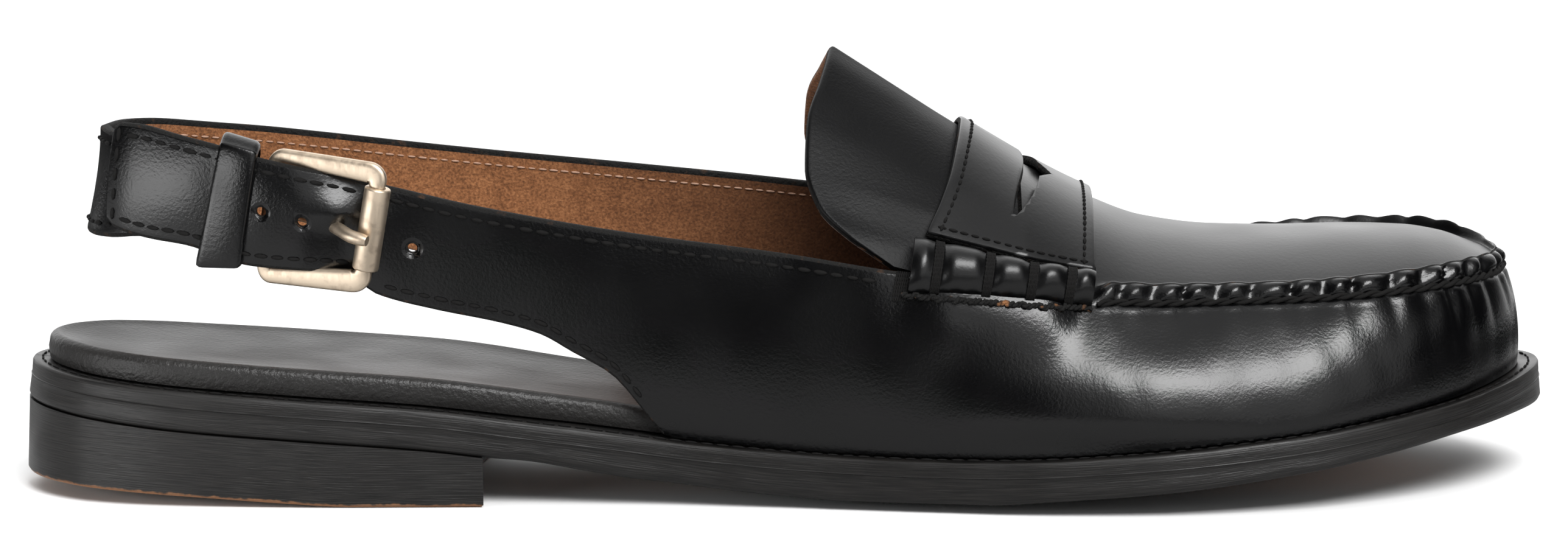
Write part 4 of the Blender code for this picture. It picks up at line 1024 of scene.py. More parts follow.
# %% The stitch tree
def node_tree(name, inputs):
    tree = bpy.data.node_groups.new(name, "GeometryNodeTree")
    tree.interface.new_socket("Lines", in_out="INPUT", socket_type="NodeSocketGeometry")
    for label, kind in inputs.items():
        tree.interface.new_socket(label, in_out="INPUT", socket_type=kind)
    tree.interface.new_socket("Geometry", in_out="OUTPUT", socket_type="NodeSocketGeometry")
    return tree, tree.nodes.new("NodeGroupInput"), tree.nodes.new("NodeGroupOutput")


def finish_tree(tree, source, result, geometry):
    smooth = add(tree, "GeometryNodeSetShadeSmooth", {"Geometry": geometry})
    whole = add(tree, "GeometryNodeRealizeInstances", {"Geometry": smooth.outputs[0]})
    dyed = add(tree, "GeometryNodeSetMaterial", {
        "Geometry": whole.outputs[0], "Material": source.outputs["Material"]})
    tree.links.new(dyed.outputs[0], result.inputs["Geometry"])
    return tree


STITCH_SEED, STITCH_SIZES = 7, (0.85, 1.08)


def make_stitch_tree():
    tree, source, result = node_tree("stitch_row", {
        "Stitch Length": "NodeSocketFloat", "Gap": "NodeSocketFloat", "Thickness": "NodeSocketFloat",
        "Material": "NodeSocketMaterial"})
    step = math_node(tree, "ADD", source.outputs["Stitch Length"], source.outputs["Gap"])
    line = add(tree, "GeometryNodeMeshToCurve", {"Mesh": source.outputs["Lines"]})
    places = add(tree, "GeometryNodeCurveToPoints", {"Curve": line.outputs[0], "Length": step}, mode="LENGTH")
    turn = add(tree, "FunctionNodeAlignRotationToVector", {"Vector": places.outputs["Tangent"]}, axis="X")
    ball = add(tree, "GeometryNodeMeshUVSphere", {"Segments": 8, "Rings": 6, "Radius": 0.5})
    thick = source.outputs["Thickness"]
    size = add(tree, "ShaderNodeCombineXYZ", {"X": source.outputs["Stitch Length"], "Y": thick, "Z": thick})
    stitch = add(tree, "GeometryNodeTransform", {"Geometry": ball.outputs["Mesh"], "Scale": size.outputs[0]})
    vary = add(tree, "FunctionNodeRandomValue", {"Seed": STITCH_SEED}, data_type="FLOAT")
    vary.inputs[2].default_value, vary.inputs[3].default_value = STITCH_SIZES
    rows = add(tree, "GeometryNodeInstanceOnPoints", {
        "Points": places.outputs["Points"], "Instance": stitch.outputs[0], "Rotation": turn.outputs[0],
        "Scale": vary.outputs[1]})
    return finish_tree(tree, source, result, rows.outputs[0])


print("stitches vary in size by", STITCH_SIZES)

# %% The cord tree
STRAND_SIDES = 8


def vector_node(tree, operation, links):
    return add(tree, "ShaderNodeVectorMath", links, operation=operation).outputs[0]


def make_cord_tree():
    """Two strands laid round each other along a line."""
    tree, source, result = node_tree("twisted_cord", {
        "Strand": "NodeSocketFloat", "Lay": "NodeSocketFloat", "Pitch": "NodeSocketFloat",
        "Step": "NodeSocketFloat", "Material": "NodeSocketMaterial"})
    line = add(tree, "GeometryNodeMeshToCurve", {"Mesh": source.outputs["Lines"]})
    fine = add(tree, "GeometryNodeResampleCurve", {
        "Curve": line.outputs[0], "Length": source.outputs["Step"]}, mode="LENGTH")
    along = add(tree, "GeometryNodeSplineParameter")
    part = math_node(tree, "DIVIDE", along.outputs["Length"], source.outputs["Pitch"])
    normal, tangent = add(tree, "GeometryNodeInputNormal"), add(tree, "GeometryNodeInputTangent")
    side = vector_node(tree, "CROSS_PRODUCT", {0: normal.outputs[0], 1: tangent.outputs[0]})
    ring = add(tree, "GeometryNodeCurvePrimitiveCircle", {
        "Resolution": STRAND_SIDES, "Radius": source.outputs["Strand"]})
    strands = add(tree, "GeometryNodeJoinGeometry")
    for phase in (0.0, math.pi):
        turn = math_node(tree, "ADD", math_node(tree, "MULTIPLY", part, 2.0 * math.pi), phase)
        shifts = []
        for wave, direction in (("COSINE", normal.outputs[0]), ("SINE", side)):
            reach = math_node(tree, "MULTIPLY", math_node(tree, wave, turn), source.outputs["Lay"])
            shifts.append(vector_node(tree, "SCALE", {0: direction, "Scale": reach}))
        shift = vector_node(tree, "ADD", {0: shifts[0], 1: shifts[1]})
        moved = add(tree, "GeometryNodeSetPosition", {"Geometry": fine.outputs[0], "Offset": shift})
        body = add(tree, "GeometryNodeCurveToMesh", {
            "Curve": moved.outputs[0], "Profile Curve": ring.outputs[0], "Fill Caps": True})
        tree.links.new(body.outputs[0], strands.inputs[0])
    return finish_tree(tree, source, result, strands.outputs[0])


print("strands have", STRAND_SIDES, "sides")

# %% Run a tree along lines
def sewn(name, lines, tree, **values):
    """Runs a tree on a set of lines and returns the plain mesh that it makes."""
    points, edges = [], []
    for line in lines:
        first = len(points)
        points.extend((np.asarray(line, float) * MM).tolist())
        edges.extend((first + n, first + n + 1) for n in range(len(line) - 1))
    guide = bpy.data.meshes.new(name + "_lines")
    guide.from_pydata(points, edges, [])
    host = bpy.data.objects.new(name + "_lines", guide)
    bpy.context.scene.collection.objects.link(host)
    modifier = host.modifiers.new(name, "NODES")
    modifier.node_group = tree
    for socket in tree.interface.items_tree:
        label = socket.name.replace(" ", "_").lower()
        if socket.in_out == "INPUT" and label in values:
            modifier[socket.identifier] = values[label]
    bpy.context.view_layer.update()
    mesh = bpy.data.meshes.new_from_object(host.evaluated_get(bpy.context.evaluated_depsgraph_get()))
    bpy.data.objects.remove(host, do_unlink=True)
    mesh.name = name
    return mesh


def sew(name, lines, tree, material, slot="polished_leather", **sizes):
    """A piece of thread along lines; its sizes are millimetres."""
    sizes = {label: size * MM for label, size in sizes.items()}
    piece(name, sewn(name, lines, tree, material=material, **sizes))


STITCH_TREE, CORD_TREE = make_stitch_tree(), make_cord_tree()
print("trees:", STITCH_TREE.name, CORD_TREE.name)

# %% [markdown]
# ## Edge stitching on straps and quarters
# A row of small stitches runs inside every cut edge of straps and quarters, about 2.5 mm in. On the
# outside the thread is black; on the suede the other thread shows, pale and pinkish. Each line is
# read off the upper's own rows at a fixed distance from an edge, so it can't leave the leather.

# %% Sew the straps and quarters
STITCH_LIFT = 0.12


def line_on(part, distance, edge, keep, skin="outside", lift=STITCH_LIFT):
    """Line at a distance from the top or the lower edge, on one skin of a stretch."""
    rows = part["drop"] if edge == "top" else part["climb"]
    line = []
    for number in np.flatnonzero(keep):
        order = np.argsort(rows[number])
        away = rows[number][order]
        points = part[skin][number][order]
        normals = part["normals"][number][order] * (1.0 if skin == "outside" else -1.0)
        point = np.array([np.interp(distance, away, points[:, axis]) for axis in range(3)])
        normal = np.array([np.interp(distance, away, normals[:, axis]) for axis in range(3)])
        line.append(point + lift * normal)
    return np.array(line)


def stitch_line(part, edge, start, end, skin="outside"):
    """Line inside one edge of a stretch, between two places along the shoe."""
    x = TOP["x"](part["angles"])
    inset = STITCH_INSET + (FLESH_INSET if skin == "inside" else 0.0)
    return line_on(part, inset, edge, (x >= start) & (x <= end), skin)


ALL_OF_IT, FLESH_INSET, TIP_MARGIN = -200.0, 0.4, 2.3
free, inner, under = ROWS_OF
tip_row = int(np.argmin(np.abs(free["end_gap"] - STITCH_INSET)))
tip_span = (free["drop"][tip_row] > TIP_MARGIN) & (free["climb"][tip_row] > TIP_MARGIN)
black_lines = [stitch_line(free, edge, start, end) for edge, start, end in (
    ("top", -121.5, -80.5), ("top", -73.0, 16.0), ("low", -121.5, -82.5), ("low", -75.0, -27.5))]
black_lines.append(free["outside"][tip_row][tip_span] + STITCH_LIFT * free["normals"][tip_row][tip_span])
black_lines += [stitch_line(part, edge, ALL_OF_IT, end) for part, edge, end in (
    (inner, "top", 16.0), (inner, "low", -27.5), (under, "top", -123.0), (under, "low", -123.0))]
light_lines = [stitch_line(part, edge, start, end, "inside") for part, edge, start, end in (
    (inner, "top", ALL_OF_IT, 16.0), (inner, "low", ALL_OF_IT, -27.5),
    (free, "top", -73.0, 0.0), (free, "low", -75.0, -27.5))]
sew("edge_stitches", black_lines, STITCH_TREE, BLACK_THREAD, stitch_length=2.7, gap=0.35, thickness=0.85)
sew("flesh_side_stitches", light_lines, STITCH_TREE, LIGHT_THREAD,
    stitch_length=1.7, gap=0.4, thickness=0.42)

# %% [markdown]
# ## The cord of the seam
# A thick waxed cord holds the pleats. It lies in the groove under the beads, twisted, once round for
# every pleat. Laying two strands round a line with the cord tree keeps the twist even round the toe.

# %% Lay the seam cord
CORD_START, CORD_LIFT = 0.12, 0.25
seam_line = np.concatenate([
    line_on(part, CORD_DROP, "top", part["amount"] > CORD_START, lift=CORD_LIFT) for part in (free, inner)])
sew("seam_cord", [seam_line], CORD_TREE, BLACK_THREAD, strand=0.42, lay=0.34, pitch=PITCH, step=0.5)

# %% [markdown]
# ## Tongue and saddle strap
# The tongue carries the apron's line up the instep as a thin flap with a cut edge all round its free
# end. The saddle strap lies across it, a clear half millimetre off, with the coin slot and its small
# notch cut through. Both are sheets on the `instep` surface.

# %% Make the tongue
def tongue_mesh():
    shares = np.linspace(-1.0, 1.0, 91)
    steps = np.concatenate([np.linspace(0.0, 0.97, 40), [0.985, 0.994, 1.0]])
    front_x = APRON_BACK - 0.8
    grid = []
    for step in steps:
        edge_x = tongue_edge(shares)[:, 0]
        row = instep(front_x + step * (edge_x - front_x), shares)
        tuck = np.clip((np.abs(shares) - 0.78) / 0.22, 0.0, None)
        pull = 3.1 * tuck * (1.0 - step)
        row[:, 1] -= np.sign(shares) * pull
        row[:, 2] -= pull
        grid.append(row)
    grid = np.array(grid)
    faces = [tuple(int(corner) for corner in face[::-1]) for face in grid_faces(len(steps), len(shares))]
    points = grid.reshape(-1, 3)
    normals = sheet_normals(points, faces)
    away = np.linalg.norm(grid - grid[-1:], axis=2).reshape(-1)
    rounding = quarter_round(away)[:, None]
    return leather("tongue", faces, points - rounding * normals, points - (1.8 - 0.6 * rounding) * normals,
                   [TONGUE_LEATHER, SUEDE, FLECKED_EDGE])


piece("tongue_flap", tongue_mesh(), ["tongue"])

# %% Make the saddle strap
SADDLE_SHARE, SADDLE_FRONT, SADDLE_GAP, SADDLE_THICK = 0.895, 58.2, 0.5, 1.4
SLOT_MIDDLE, SLOT_PLACE, SLOT_HALF, SLOT_BOW = -2.5, 47.3, 23.3, 3.7
SLOT_WIDTH, SLOT_END, SLOT_END_SHARPNESS = 3.2, 0.6, 6
NOTCH_LENGTH, NOTCH_HALF = 2.2, 6.0
PUNCH_HEIGHTS = (35.0, 90.0)


def saddle_x(share, step):
    """Place along the shoe at a step from the strap's rear edge to its front edge."""
    rear = TONGUE["saddle_x"](np.abs(share))
    return rear + step * (SADDLE_FRONT - rear)


def slot_punch():
    places = SLOT_HALF * np.sin(np.linspace(-0.5 * math.pi, 0.5 * math.pi, 61))
    share = places / SLOT_HALF
    bow = SLOT_PLACE - SLOT_BOW * share ** 2
    spread = SLOT_END + (SLOT_WIDTH - SLOT_END) * (1.0 - share ** SLOT_END_SHARPNESS)
    notch = NOTCH_LENGTH * np.clip(1.0 - np.abs(places) / NOTCH_HALF, 0.0, None)
    front = np.stack([bow + 0.5 * spread + notch, SLOT_MIDDLE + places], -1)
    rear = np.stack([bow - 0.5 * spread, SLOT_MIDDLE + places], -1)
    outline = np.concatenate([front, rear[::-1]])
    ends = [raise_flat(outline, np.full(len(outline), height)) for height in PUNCH_HEIGHTS]
    return loft("slot_punch", ends, [CUT_EDGE])


def saddle_mesh():
    near = np.array([0.0, 0.004, 0.012, 0.026])
    side = SADDLE_SHARE - near * 1.7
    shares = np.concatenate([-side, np.linspace(-0.8, 0.8, 65), side[::-1]])
    steps = np.concatenate([near, np.linspace(0.05, 0.95, 34), (1.0 - near)[::-1]])
    shares, steps = np.meshgrid(shares, steps)
    grid = instep(saddle_x(shares, steps), shares)
    flat = grid.reshape(-1, 3)
    faces = [tuple(map(int, face)) for face in grid_faces(*shares.shape)]
    normals = sheet_normals(flat, faces)
    edges = (grid[:1], grid[-1:], grid[:, :1], grid[:, -1:])
    away = np.minimum.reduce([np.linalg.norm(grid - edge, axis=2) for edge in edges]).reshape(-1)
    rounding = 0.7 * quarter_round(away)[:, None]
    outside = flat + normals * (SADDLE_GAP + SADDLE_THICK - rounding)
    inside = flat + normals * SADDLE_GAP
    band = leather("saddle", faces, outside, inside, [APRON_LEATHER, CUT_EDGE, CUT_EDGE])
    mesh = punch(band, [slot_punch()])
    mesh.name = "saddle"
    return mesh


piece("saddle_band", saddle_mesh(), ["saddle_strap"])

# %% Sew the saddle strap
def saddle_point(share, step, lift):
    place = saddle_x(share, step)
    base = instep(place, share)
    ahead, beside = instep(place + 0.3, share), instep(place, share + 0.01)
    normal = np.cross(ahead - base, beside - base)
    normal /= np.linalg.norm(normal, axis=-1, keepdims=True)
    return base + normal * (SADDLE_GAP + SADDLE_THICK + lift)


SEWN_SHARE, SEWN_STEPS, SADDLE_STITCH_LIFT = 0.86, (0.075, 0.925), 0.05
across, along = np.linspace(-SEWN_SHARE, SEWN_SHARE, 90), np.linspace(*SEWN_STEPS, 30)
saddle_lines = [saddle_point(across, np.full(90, step), SADDLE_STITCH_LIFT) for step in SEWN_STEPS]
saddle_lines += [saddle_point(np.full(30, share), along, SADDLE_STITCH_LIFT)
                 for share in (-SEWN_SHARE, SEWN_SHARE)]
sew("saddle_stitches", saddle_lines, STITCH_TREE, BLACK_THREAD, stitch_length=1.7, gap=0.3, thickness=0.66)

# %% [markdown]
# ## Beef rolls
# The ends of the saddle strap are rolled over and bound with thread in four places, so that three
# firm swells stand between the bindings. Each roll is a loft of half-round sections on the seam, and
# the bindings are cords laid round it with the same tree that made the seam's cord.

# %% Make the rolls
ROLL_BACK, ROLL_FRONT, ROLL_BULGE, ROLL_LEAN = 23.7, 57.8, 5.8, 0.155
ROLL_RISE, ROLL_SHARE, ROLL_ARC = 0.84, 0.92, 22
BINDINGS, ROLL_STEPS = (0.14, 0.42, 0.66, 0.87), 150


def roll_girth(part):
    girth = np.ones_like(part)
    for binding in BINDINGS:
        girth -= 0.26 * np.exp(-np.abs((part - binding) / 0.055) ** 2.4)
    return girth * (1.0 - 0.25 * np.abs(2.0 * part - 1.0) ** 10)


def roll_loops(side, parts, grow=0.0):
    parts = np.asarray(parts, float)
    x = ROLL_BACK + parts * (ROLL_FRONT - ROLL_BACK)
    angles = angle_of_seam(x)
    seam, low = top_point(angles, side), wall(angles, side, np.full(len(x), ROLL_RISE))
    high = instep(x, np.full(len(x), ROLL_SHARE * side))
    girth = roll_girth(parts)
    loops = []
    for n in range(len(x)):
        chord = high[n] - low[n]
        chord[0] = 0.0
        facing = np.array([0.0, side * chord[2], -side * chord[1]])
        facing /= np.linalg.norm(facing)
        for point in (seam[n], low[n], high[n]):
            point[0] = x[n]
        clear = 0.5 * facing
        middle = 0.5 * (low[n] + high[n])
        turn = np.linspace(0.0, math.pi, ROLL_ARC)[:, None]
        swell = np.sin(turn) ** 0.9
        width = 0.5 + grow / np.linalg.norm(chord)
        bulge = (ROLL_BULGE * girth[n] + grow) * swell
        arc = middle + clear - width * np.cos(turn) * chord + bulge * facing
        loop = np.concatenate([arc, [seam[n] + clear]])
        loop[:, 0] += ROLL_LEAN * (loop[:, 2] - middle[2])
        loops.append(loop)
    return loops


for side in (OUTER, INNER):
    loops = roll_loops(side, np.linspace(0.0, 1.0, ROLL_STEPS))
    body = loft(f"roll_{SIDE[side]}", loops, [ROLL_LEATHER], sharp=50.0)
    piece(f"beef_roll_{SIDE[side]}_leather", body, [f"beef_roll_{SIDE[side]}"])
bindings = []
for side in (OUTER, INNER):
    for binding in BINDINGS:
        for strand in np.linspace(-0.02, 0.02, 6):
            bindings.append(roll_loops(side, [binding + strand], grow=0.2)[0][:-1])
sew("roll_bindings", bindings, CORD_TREE, BLACK_THREAD, strand=0.15, lay=0.08, pitch=1.8, step=0.45)

# %% [markdown]
# A real roll isn't tidy underneath: its thread ends are knotted there, fibres of raw leather show, and
# a bar tack of several turns holds its rear end to the quarter. Rough cords along the roll's lower
# edge and short turns up the wall stand for them.

# %% Tie the rolls down
KNOT_WANDER = 0.3
TACK_X, TACK_TURNS, TACK_STEP = 21.0, 6, 0.42


def tack_turn(side, x):
    angle = np.full(9, angle_of_seam(x))
    out = raise_flat(outward(angle, side), np.zeros(9))
    turn = wall(angle, side, np.linspace(0.80, 1.0, 9)) + 0.4 * out
    turn[:, 0] += ROLL_LEAN * (turn[:, 2] - turn[:, 2].mean())
    return turn


under_edges, tacks = [], []
for side in (OUTER, INNER):
    loops = roll_loops(side, np.linspace(-0.03, 1.0, 120), grow=0.25)
    edge = np.array([loop[0] for loop in loops])
    place = np.arange(len(edge))
    edge[:, 2] += KNOT_WANDER * np.sin(place * 0.9) * np.sin(place * 0.23)
    edge[:, 1] += side * KNOT_WANDER * np.sin(place * 0.57 + 1.0)
    if side == OUTER:
        edge[:, 1] -= side_swell(edge)
    under_edges.append(edge)
    tacks += [tack_turn(side, TACK_X + TACK_STEP * number) for number in range(TACK_TURNS)]
sew("roll_under_edges", under_edges, CORD_TREE, FLECKED_EDGE, strand=0.36, lay=0.3, pitch=2.3, step=0.4)
sew("roll_bar_tacks", tacks, CORD_TREE, BLACK_THREAD, strand=0.2, lay=0.12, pitch=1.5, step=0.4)

# %% [markdown]
# ## Sole, heel and footbed
# The sole is a stack: an inked leather outsole, a thinner midsole that steps in a little and carries
# the welt stitches, the footbed, and a stacked heel. Each one is a set of rings round the same outline
# at other heights and insets. A UV map along the edge lets brush marks run round the shoe.

# %% Materials of the sole
def inked_edge(name, brown_low=0.0):
    finish = Finish(name, Specular_IOR_Level=0.38, Coat_Weight=0.08, Coat_Roughness=0.25)
    round_edge = finish.add("ShaderNodeUVMap", uv_map="round_edge").outputs["UV"]
    streak = finish.noise(1.0, 3.0, stretch=(0.00012, 0.004, 0.0), place=round_edge)
    broad = finish.noise(9.0, 1.0)
    brushed = finish.span(streak, 0.35, 0.7, 0.0, 1.0)
    tone = finish.mix(brushed, (0.0026, 0.0024, 0.0023), (0.011, 0.0098, 0.009))
    if brown_low:
        height = finish.add("ShaderNodeSeparateXYZ", {"Vector": round_edge}).outputs["Y"]
        rough = finish.math("ADD", height, finish.span(finish.noise(1.6, 3.0), 0.2, 0.8, -0.35, 0.35))
        bare = finish.span(rough, brown_low, brown_low + 0.35, 1.0, 0.0)
        tone = finish.mix(bare, tone, (0.17, 0.075, 0.03))
    finish.set("Base Color", tone)
    finish.set("Roughness", finish.span(broad, 0.3, 0.7, 0.36, 0.5))
    finish.set("Normal", finish.bump(streak, 0.12))
    return finish.material


def footbed_leather(name):
    finish = Finish(name, Specular_IOR_Level=0.45)
    grain = finish.group(GRAIN, Size=0.9)
    wrinkle = finish.noise(3.0, 2.0, stretch=(0.35, 1.0, 1.0))
    mask = grain.outputs["Mask"]
    finish.set("Base Color", finish.mix(mask, (0.0055, 0.005, 0.0047), (0.010, 0.009, 0.0082)))
    finish.set("Roughness", finish.span(mask, 0.3, 0.7, 0.4, 0.52))
    soft = finish.bump(wrinkle, 0.12)
    finish.set("Normal", finish.bump(grain.outputs["Height"], 0.2, after=soft))
    return finish.material


OUTSOLE_INK = inked_edge("outsole_ink", brown_low=0.5)
MIDSOLE_INK = inked_edge("midsole_ink")
HEEL_INK = inked_edge("heel_ink", brown_low=0.25)
FOOTBED_LEATHER = footbed_leather("footbed_leather")
print("inks:", OUTSOLE_INK.name, MIDSOLE_INK.name, HEEL_INK.name)

# %% Rings round the sole
RING_ANGLES = np.linspace(0.0, math.pi, 141)
CORE = angle_of(np.array([-118.0, 108.0]) / SOLE_LENGTH + 0.5)
RING_LOOP = [(OUTER, RING_ANGLES), (INNER, RING_ANGLES[-2:0:-1])]


def heel_draft(angle):
    part = np.clip(angle / float(angle_of(0.3)), 0.0, 1.0)
    return 0.45 * (1.0 + np.cos(math.pi * part))


def sole_ring(height, share=1.0, inset=0.0, inset_curve=None, draft=0.0):
    ring = []
    for side, angles in RING_LOOP:
        depth = inset + draft * heel_draft(angles) + (inset_curve(angles) if inset_curve else 0.0)
        rim = inset_edge(angles, side, depth)
        middle = np.clip(angles, *CORE)
        core = 0.5 * (sole_edge(middle, OUTER) + sole_edge(middle, INNER))
        flat = core + share * (rim - core)
        ring.append(raise_flat(flat, height(angles, flat[:, 0], share)))
    return np.concatenate(ring)


def edge_map(mesh, around, above):
    """UV map of an edge from each point's place round it and height up it, in millimetres."""
    corners = np.zeros(len(mesh.loops), np.int32)
    mesh.loops.foreach_get("vertex_index", corners)
    uv = np.stack([around[corners], above[corners]], -1)
    mesh.uv_layers.new(name="round_edge").data.foreach_set("uv", uv.ravel())


def ringed(name, rings, materials):
    """Loft of sole rings with a map of the edge."""
    count = len(rings[0])
    faces = grid_faces(len(rings), count, wrap=True)
    mesh = mesh_of(name, np.concatenate(rings), faces, materials, sharp=40.0)
    around = run_along(sole_ring(lambda angle, x, share: 0.0 * x))
    rises = [np.abs(high[:, 2] - low[:, 2]).mean() + 0.01 for low, high in zip(rings, rings[1:])]
    across = np.concatenate([[0.0], np.cumsum(rises)])
    edge_map(mesh, np.tile(around, len(rings)), np.repeat(across, count))
    return close_seams(mesh)


def ground(x, share):
    rounding = max(0.0, (share - 0.3) / 0.7)
    return PROFILE["ground"](x) + PROFILE["rim_lift"](x) * rounding ** 2


def ledge_less(drop):
    return lambda angle, x, share: PROFILE["ledge"](x) - drop


print("points in a ring:", sum(len(angles) for _, angles in RING_LOOP))

# %% Make outsole, midsole and footbed
def base(lift):
    return lambda angle, x, share: ground(x, share) + lift


EDGE_FOOT, EDGE_HEAD = 0.9, 3.2


def up_edge(part):
    """Heights at a part of the way up the outsole's edge."""
    def height(angle, x, share):
        foot = ground(x, 1.0)
        return foot + EDGE_FOOT + part * (PROFILE["ledge"](x) - EDGE_HEAD - foot - EDGE_FOOT)
    return height


outsole_rings = [sole_ring(base(0.0), share) for share in (0.0, 0.3, 0.5, 0.65, 0.8, 0.92)]
outsole_rings += [sole_ring(base(0.0), 1.0, 0.9, draft=0.6), sole_ring(base(0.3), 1.0, 0.28, draft=0.6),
                  sole_ring(base(0.9), draft=0.6)]
for part in (0.35, 0.7, 1.0):
    outsole_rings.append(sole_ring(up_edge(part), 1.0, 0.26 * part, draft=0.6 + 0.25 * part))
outsole_rings += [sole_ring(ledge_less(3.05), 1.0, 0.16, draft=0.85), sole_ring(ledge_less(3.05), 0.0)]
piece("outsole_edge", ringed("outsole_edge", outsole_rings, [OUTSOLE_INK]), ["outsole"])

midsole_rings = [
    sole_ring(ledge_less(3.0), 0.0), sole_ring(ledge_less(3.0), 1.0, 0.2, draft=0.85),
    sole_ring(ledge_less(2.85), 1.0, 0.33, draft=0.86), sole_ring(ledge_less(1.6), 1.0, 0.33, draft=0.95),
    sole_ring(ledge_less(0.5), 1.0, 0.4, draft=1.0), sole_ring(ledge_less(0.15), 1.0, 0.62, draft=1.0),
    sole_ring(ledge_less(0.0), 1.0, 1.0, draft=1.0), sole_ring(ledge_less(0.02), 1.0, 2.0, draft=1.0),
    sole_ring(ledge_less(0.0), 0.0)]
piece("midsole_rim", ringed("midsole_rim", midsole_rings, [MIDSOLE_INK]), ["midsole"])


BED_SWELL, BED_ROUND, BED_HOLLOW = 0.25, 1.8, 1.2


def bed(part, drop=0.0):
    return lambda angle, x, share: PROFILE["ledge"](x) + SEAT_GAP + part * FOOTBED["height"](angle) - drop


footbed_rings = [sole_ring(bed(0.0), 0.0), sole_ring(bed(0.0), 1.0, 0.0, FOOTBED["inset"])]
for part in (0.15, 0.4):
    swell = -BED_SWELL * math.sin(math.pi * part)
    footbed_rings.append(sole_ring(bed(part), 1.0, swell, FOOTBED["inset"]))
for turn in np.linspace(0.0, 0.5 * math.pi, 7):
    drop, inset = BED_ROUND * (1.0 - math.sin(turn)), BED_ROUND * (1.0 - math.cos(turn))
    footbed_rings.append(sole_ring(bed(1.0, drop), 1.0, inset, FOOTBED["inset"]))
for share in (0.88, 0.75, 0.6, 0.4, 0.2, 0.0):
    drop = BED_HOLLOW * (1.0 - share ** 2 * 0.9)
    footbed_rings.append(sole_ring(bed(1.0, drop), share, 0.0, FOOTBED["inset"]))
piece("footbed", ringed("footbed", footbed_rings, [FOOTBED_LEATHER]), ["insole"])

# %% Make the heel
HEEL_GAP, HEEL_FRONT_X, HEEL_DRAFT, HEEL_CHAMFER = 0.06, -57.0, 0.6, 0.35
BREAST_SKEW, BREAST_HOLLOW = 1.2, 3.0
HEEL_LEVELS = (0.0, 0.035, 0.33, 0.36, 0.64, 0.67, 1.0)
HEEL_MIDDLE_X, HEEL_RADIUS = -90.0, 45.0


def heel_level(part, places, columns):
    """Rows of points across the heel at a part of its height."""
    pull = HEEL_CHAMFER if part == 0.0 else 0.0
    rows = []
    for angle in places:
        depth = np.array(HEEL_DRAFT * part * heel_draft(angle) + pull)
        outer_edge, inner_edge = inset_edge(angle, OUTER, depth), inset_edge(angle, INNER, depth)
        flat = 0.5 * (outer_edge + inner_edge) + 0.5 * columns[:, None] * (inner_edge - outer_edge)
        if angle == places[-1]:
            skew = BREAST_SKEW * np.clip(columns, 0.0, None)
            flat[:, 0] += skew - BREAST_HOLLOW * (1.0 - columns ** 2) - pull
        high = PROFILE["ground"](flat[:, 0]) - HEEL_GAP
        low = HEEL_BASE(flat[:, 0])
        rows.append(raise_flat(flat, low + part * (high - low)))
    return np.array(rows)


def heel_mesh():
    front = float(angle_of(HEEL_FRONT_X / SOLE_LENGTH + 0.5))
    places = np.concatenate([np.linspace(0.0, 0.35, 16), np.linspace(0.35, front, 30)[1:]])
    columns = np.linspace(-1.0, 1.0, 41)
    levels = [heel_level(part, places, columns) for part in HEEL_LEVELS]
    rows, count = len(places), len(columns)
    rim = [(row, 0) for row in range(rows - 1, 0, -1)] + [(0, column) for column in range(count)]
    rim += [(row, count - 1) for row in range(1, rows)]
    rim += [(rows - 1, column) for column in range(count - 2, 0, -1)]
    points = [levels[0].reshape(-1, 3)]
    faces = [tuple(map(int, face[::-1])) for face in grid_faces(rows, count)]
    first_loop = [row * count + column for row, column in rim]
    loops = [first_loop]
    total = rows * count
    for level in levels[1:-1]:
        points.append(np.array([level[row, column] for row, column in rim]))
        loops.append(list(range(total, total + len(rim))))
        total += len(rim)
    points.append(levels[-1].reshape(-1, 3))
    loops.append([total + corner for corner in first_loop])
    faces += [tuple(int(total + corner) for corner in face) for face in grid_faces(rows, count)]
    for low, high in zip(loops, loops[1:]):
        for n in range(len(rim)):
            after = (n + 1) % len(rim)
            faces.append((low[n], low[after], high[after], high[n]))
    mesh = mesh_of("heel_stack", np.concatenate(points), faces, [HEEL_INK], sharp=35.0)
    place = np.array([vertex.co[:] for vertex in mesh.vertices]) / MM
    around = np.arctan2(place[:, 1], HEEL_MIDDLE_X - place[:, 0]) * HEEL_RADIUS
    edge_map(mesh, around, place[:, 2] - HEEL_BASE(place[:, 0]))
    return close_seams(mesh, recalculate=True)


piece("heel_stack", heel_mesh(), ["heel"])

# %% Sew the welt
WELT_INSET = 2.3
welt = sole_ring(ledge_less(-STITCH_LIFT), 1.0, WELT_INSET, draft=1.0)
sew("welt_stitches", [np.concatenate([welt, welt[:1]])], STITCH_TREE, BLACK_THREAD, "midsole_leather",
    stitch_length=2.6, gap=0.4, thickness=0.45)

# %% [markdown]
# ## Buckle and keeper
# The buckle is cast and plated: its long arms are flat, its bars round, and a loose roller turns on
# the front bar. A sweep whose section changes from flat to round follows the frame's outline. The
# keeper is a leather loop round both layers of strap.

# %% Nickel
def nickel(name):
    finish = Finish(name, metallic=1.0)
    brush = finish.noise(0.5, 3.0, stretch=(1.0, 1.0, 0.25))
    stain = finish.noise(2.2, 4.0)
    dull = finish.span(stain, 0.52, 0.72, 0.0, 0.75)
    finish.set("Base Color", finish.mix(dull, (0.74, 0.615, 0.475), (0.46, 0.36, 0.27)))
    finish.set("Roughness", finish.span(brush, 0.3, 0.7, 0.4, 0.5))
    finish.set("Normal", finish.bump(brush, 0.015))
    return finish.material


NICKEL = nickel("warm_nickel")
print("metal:", NICKEL.name)

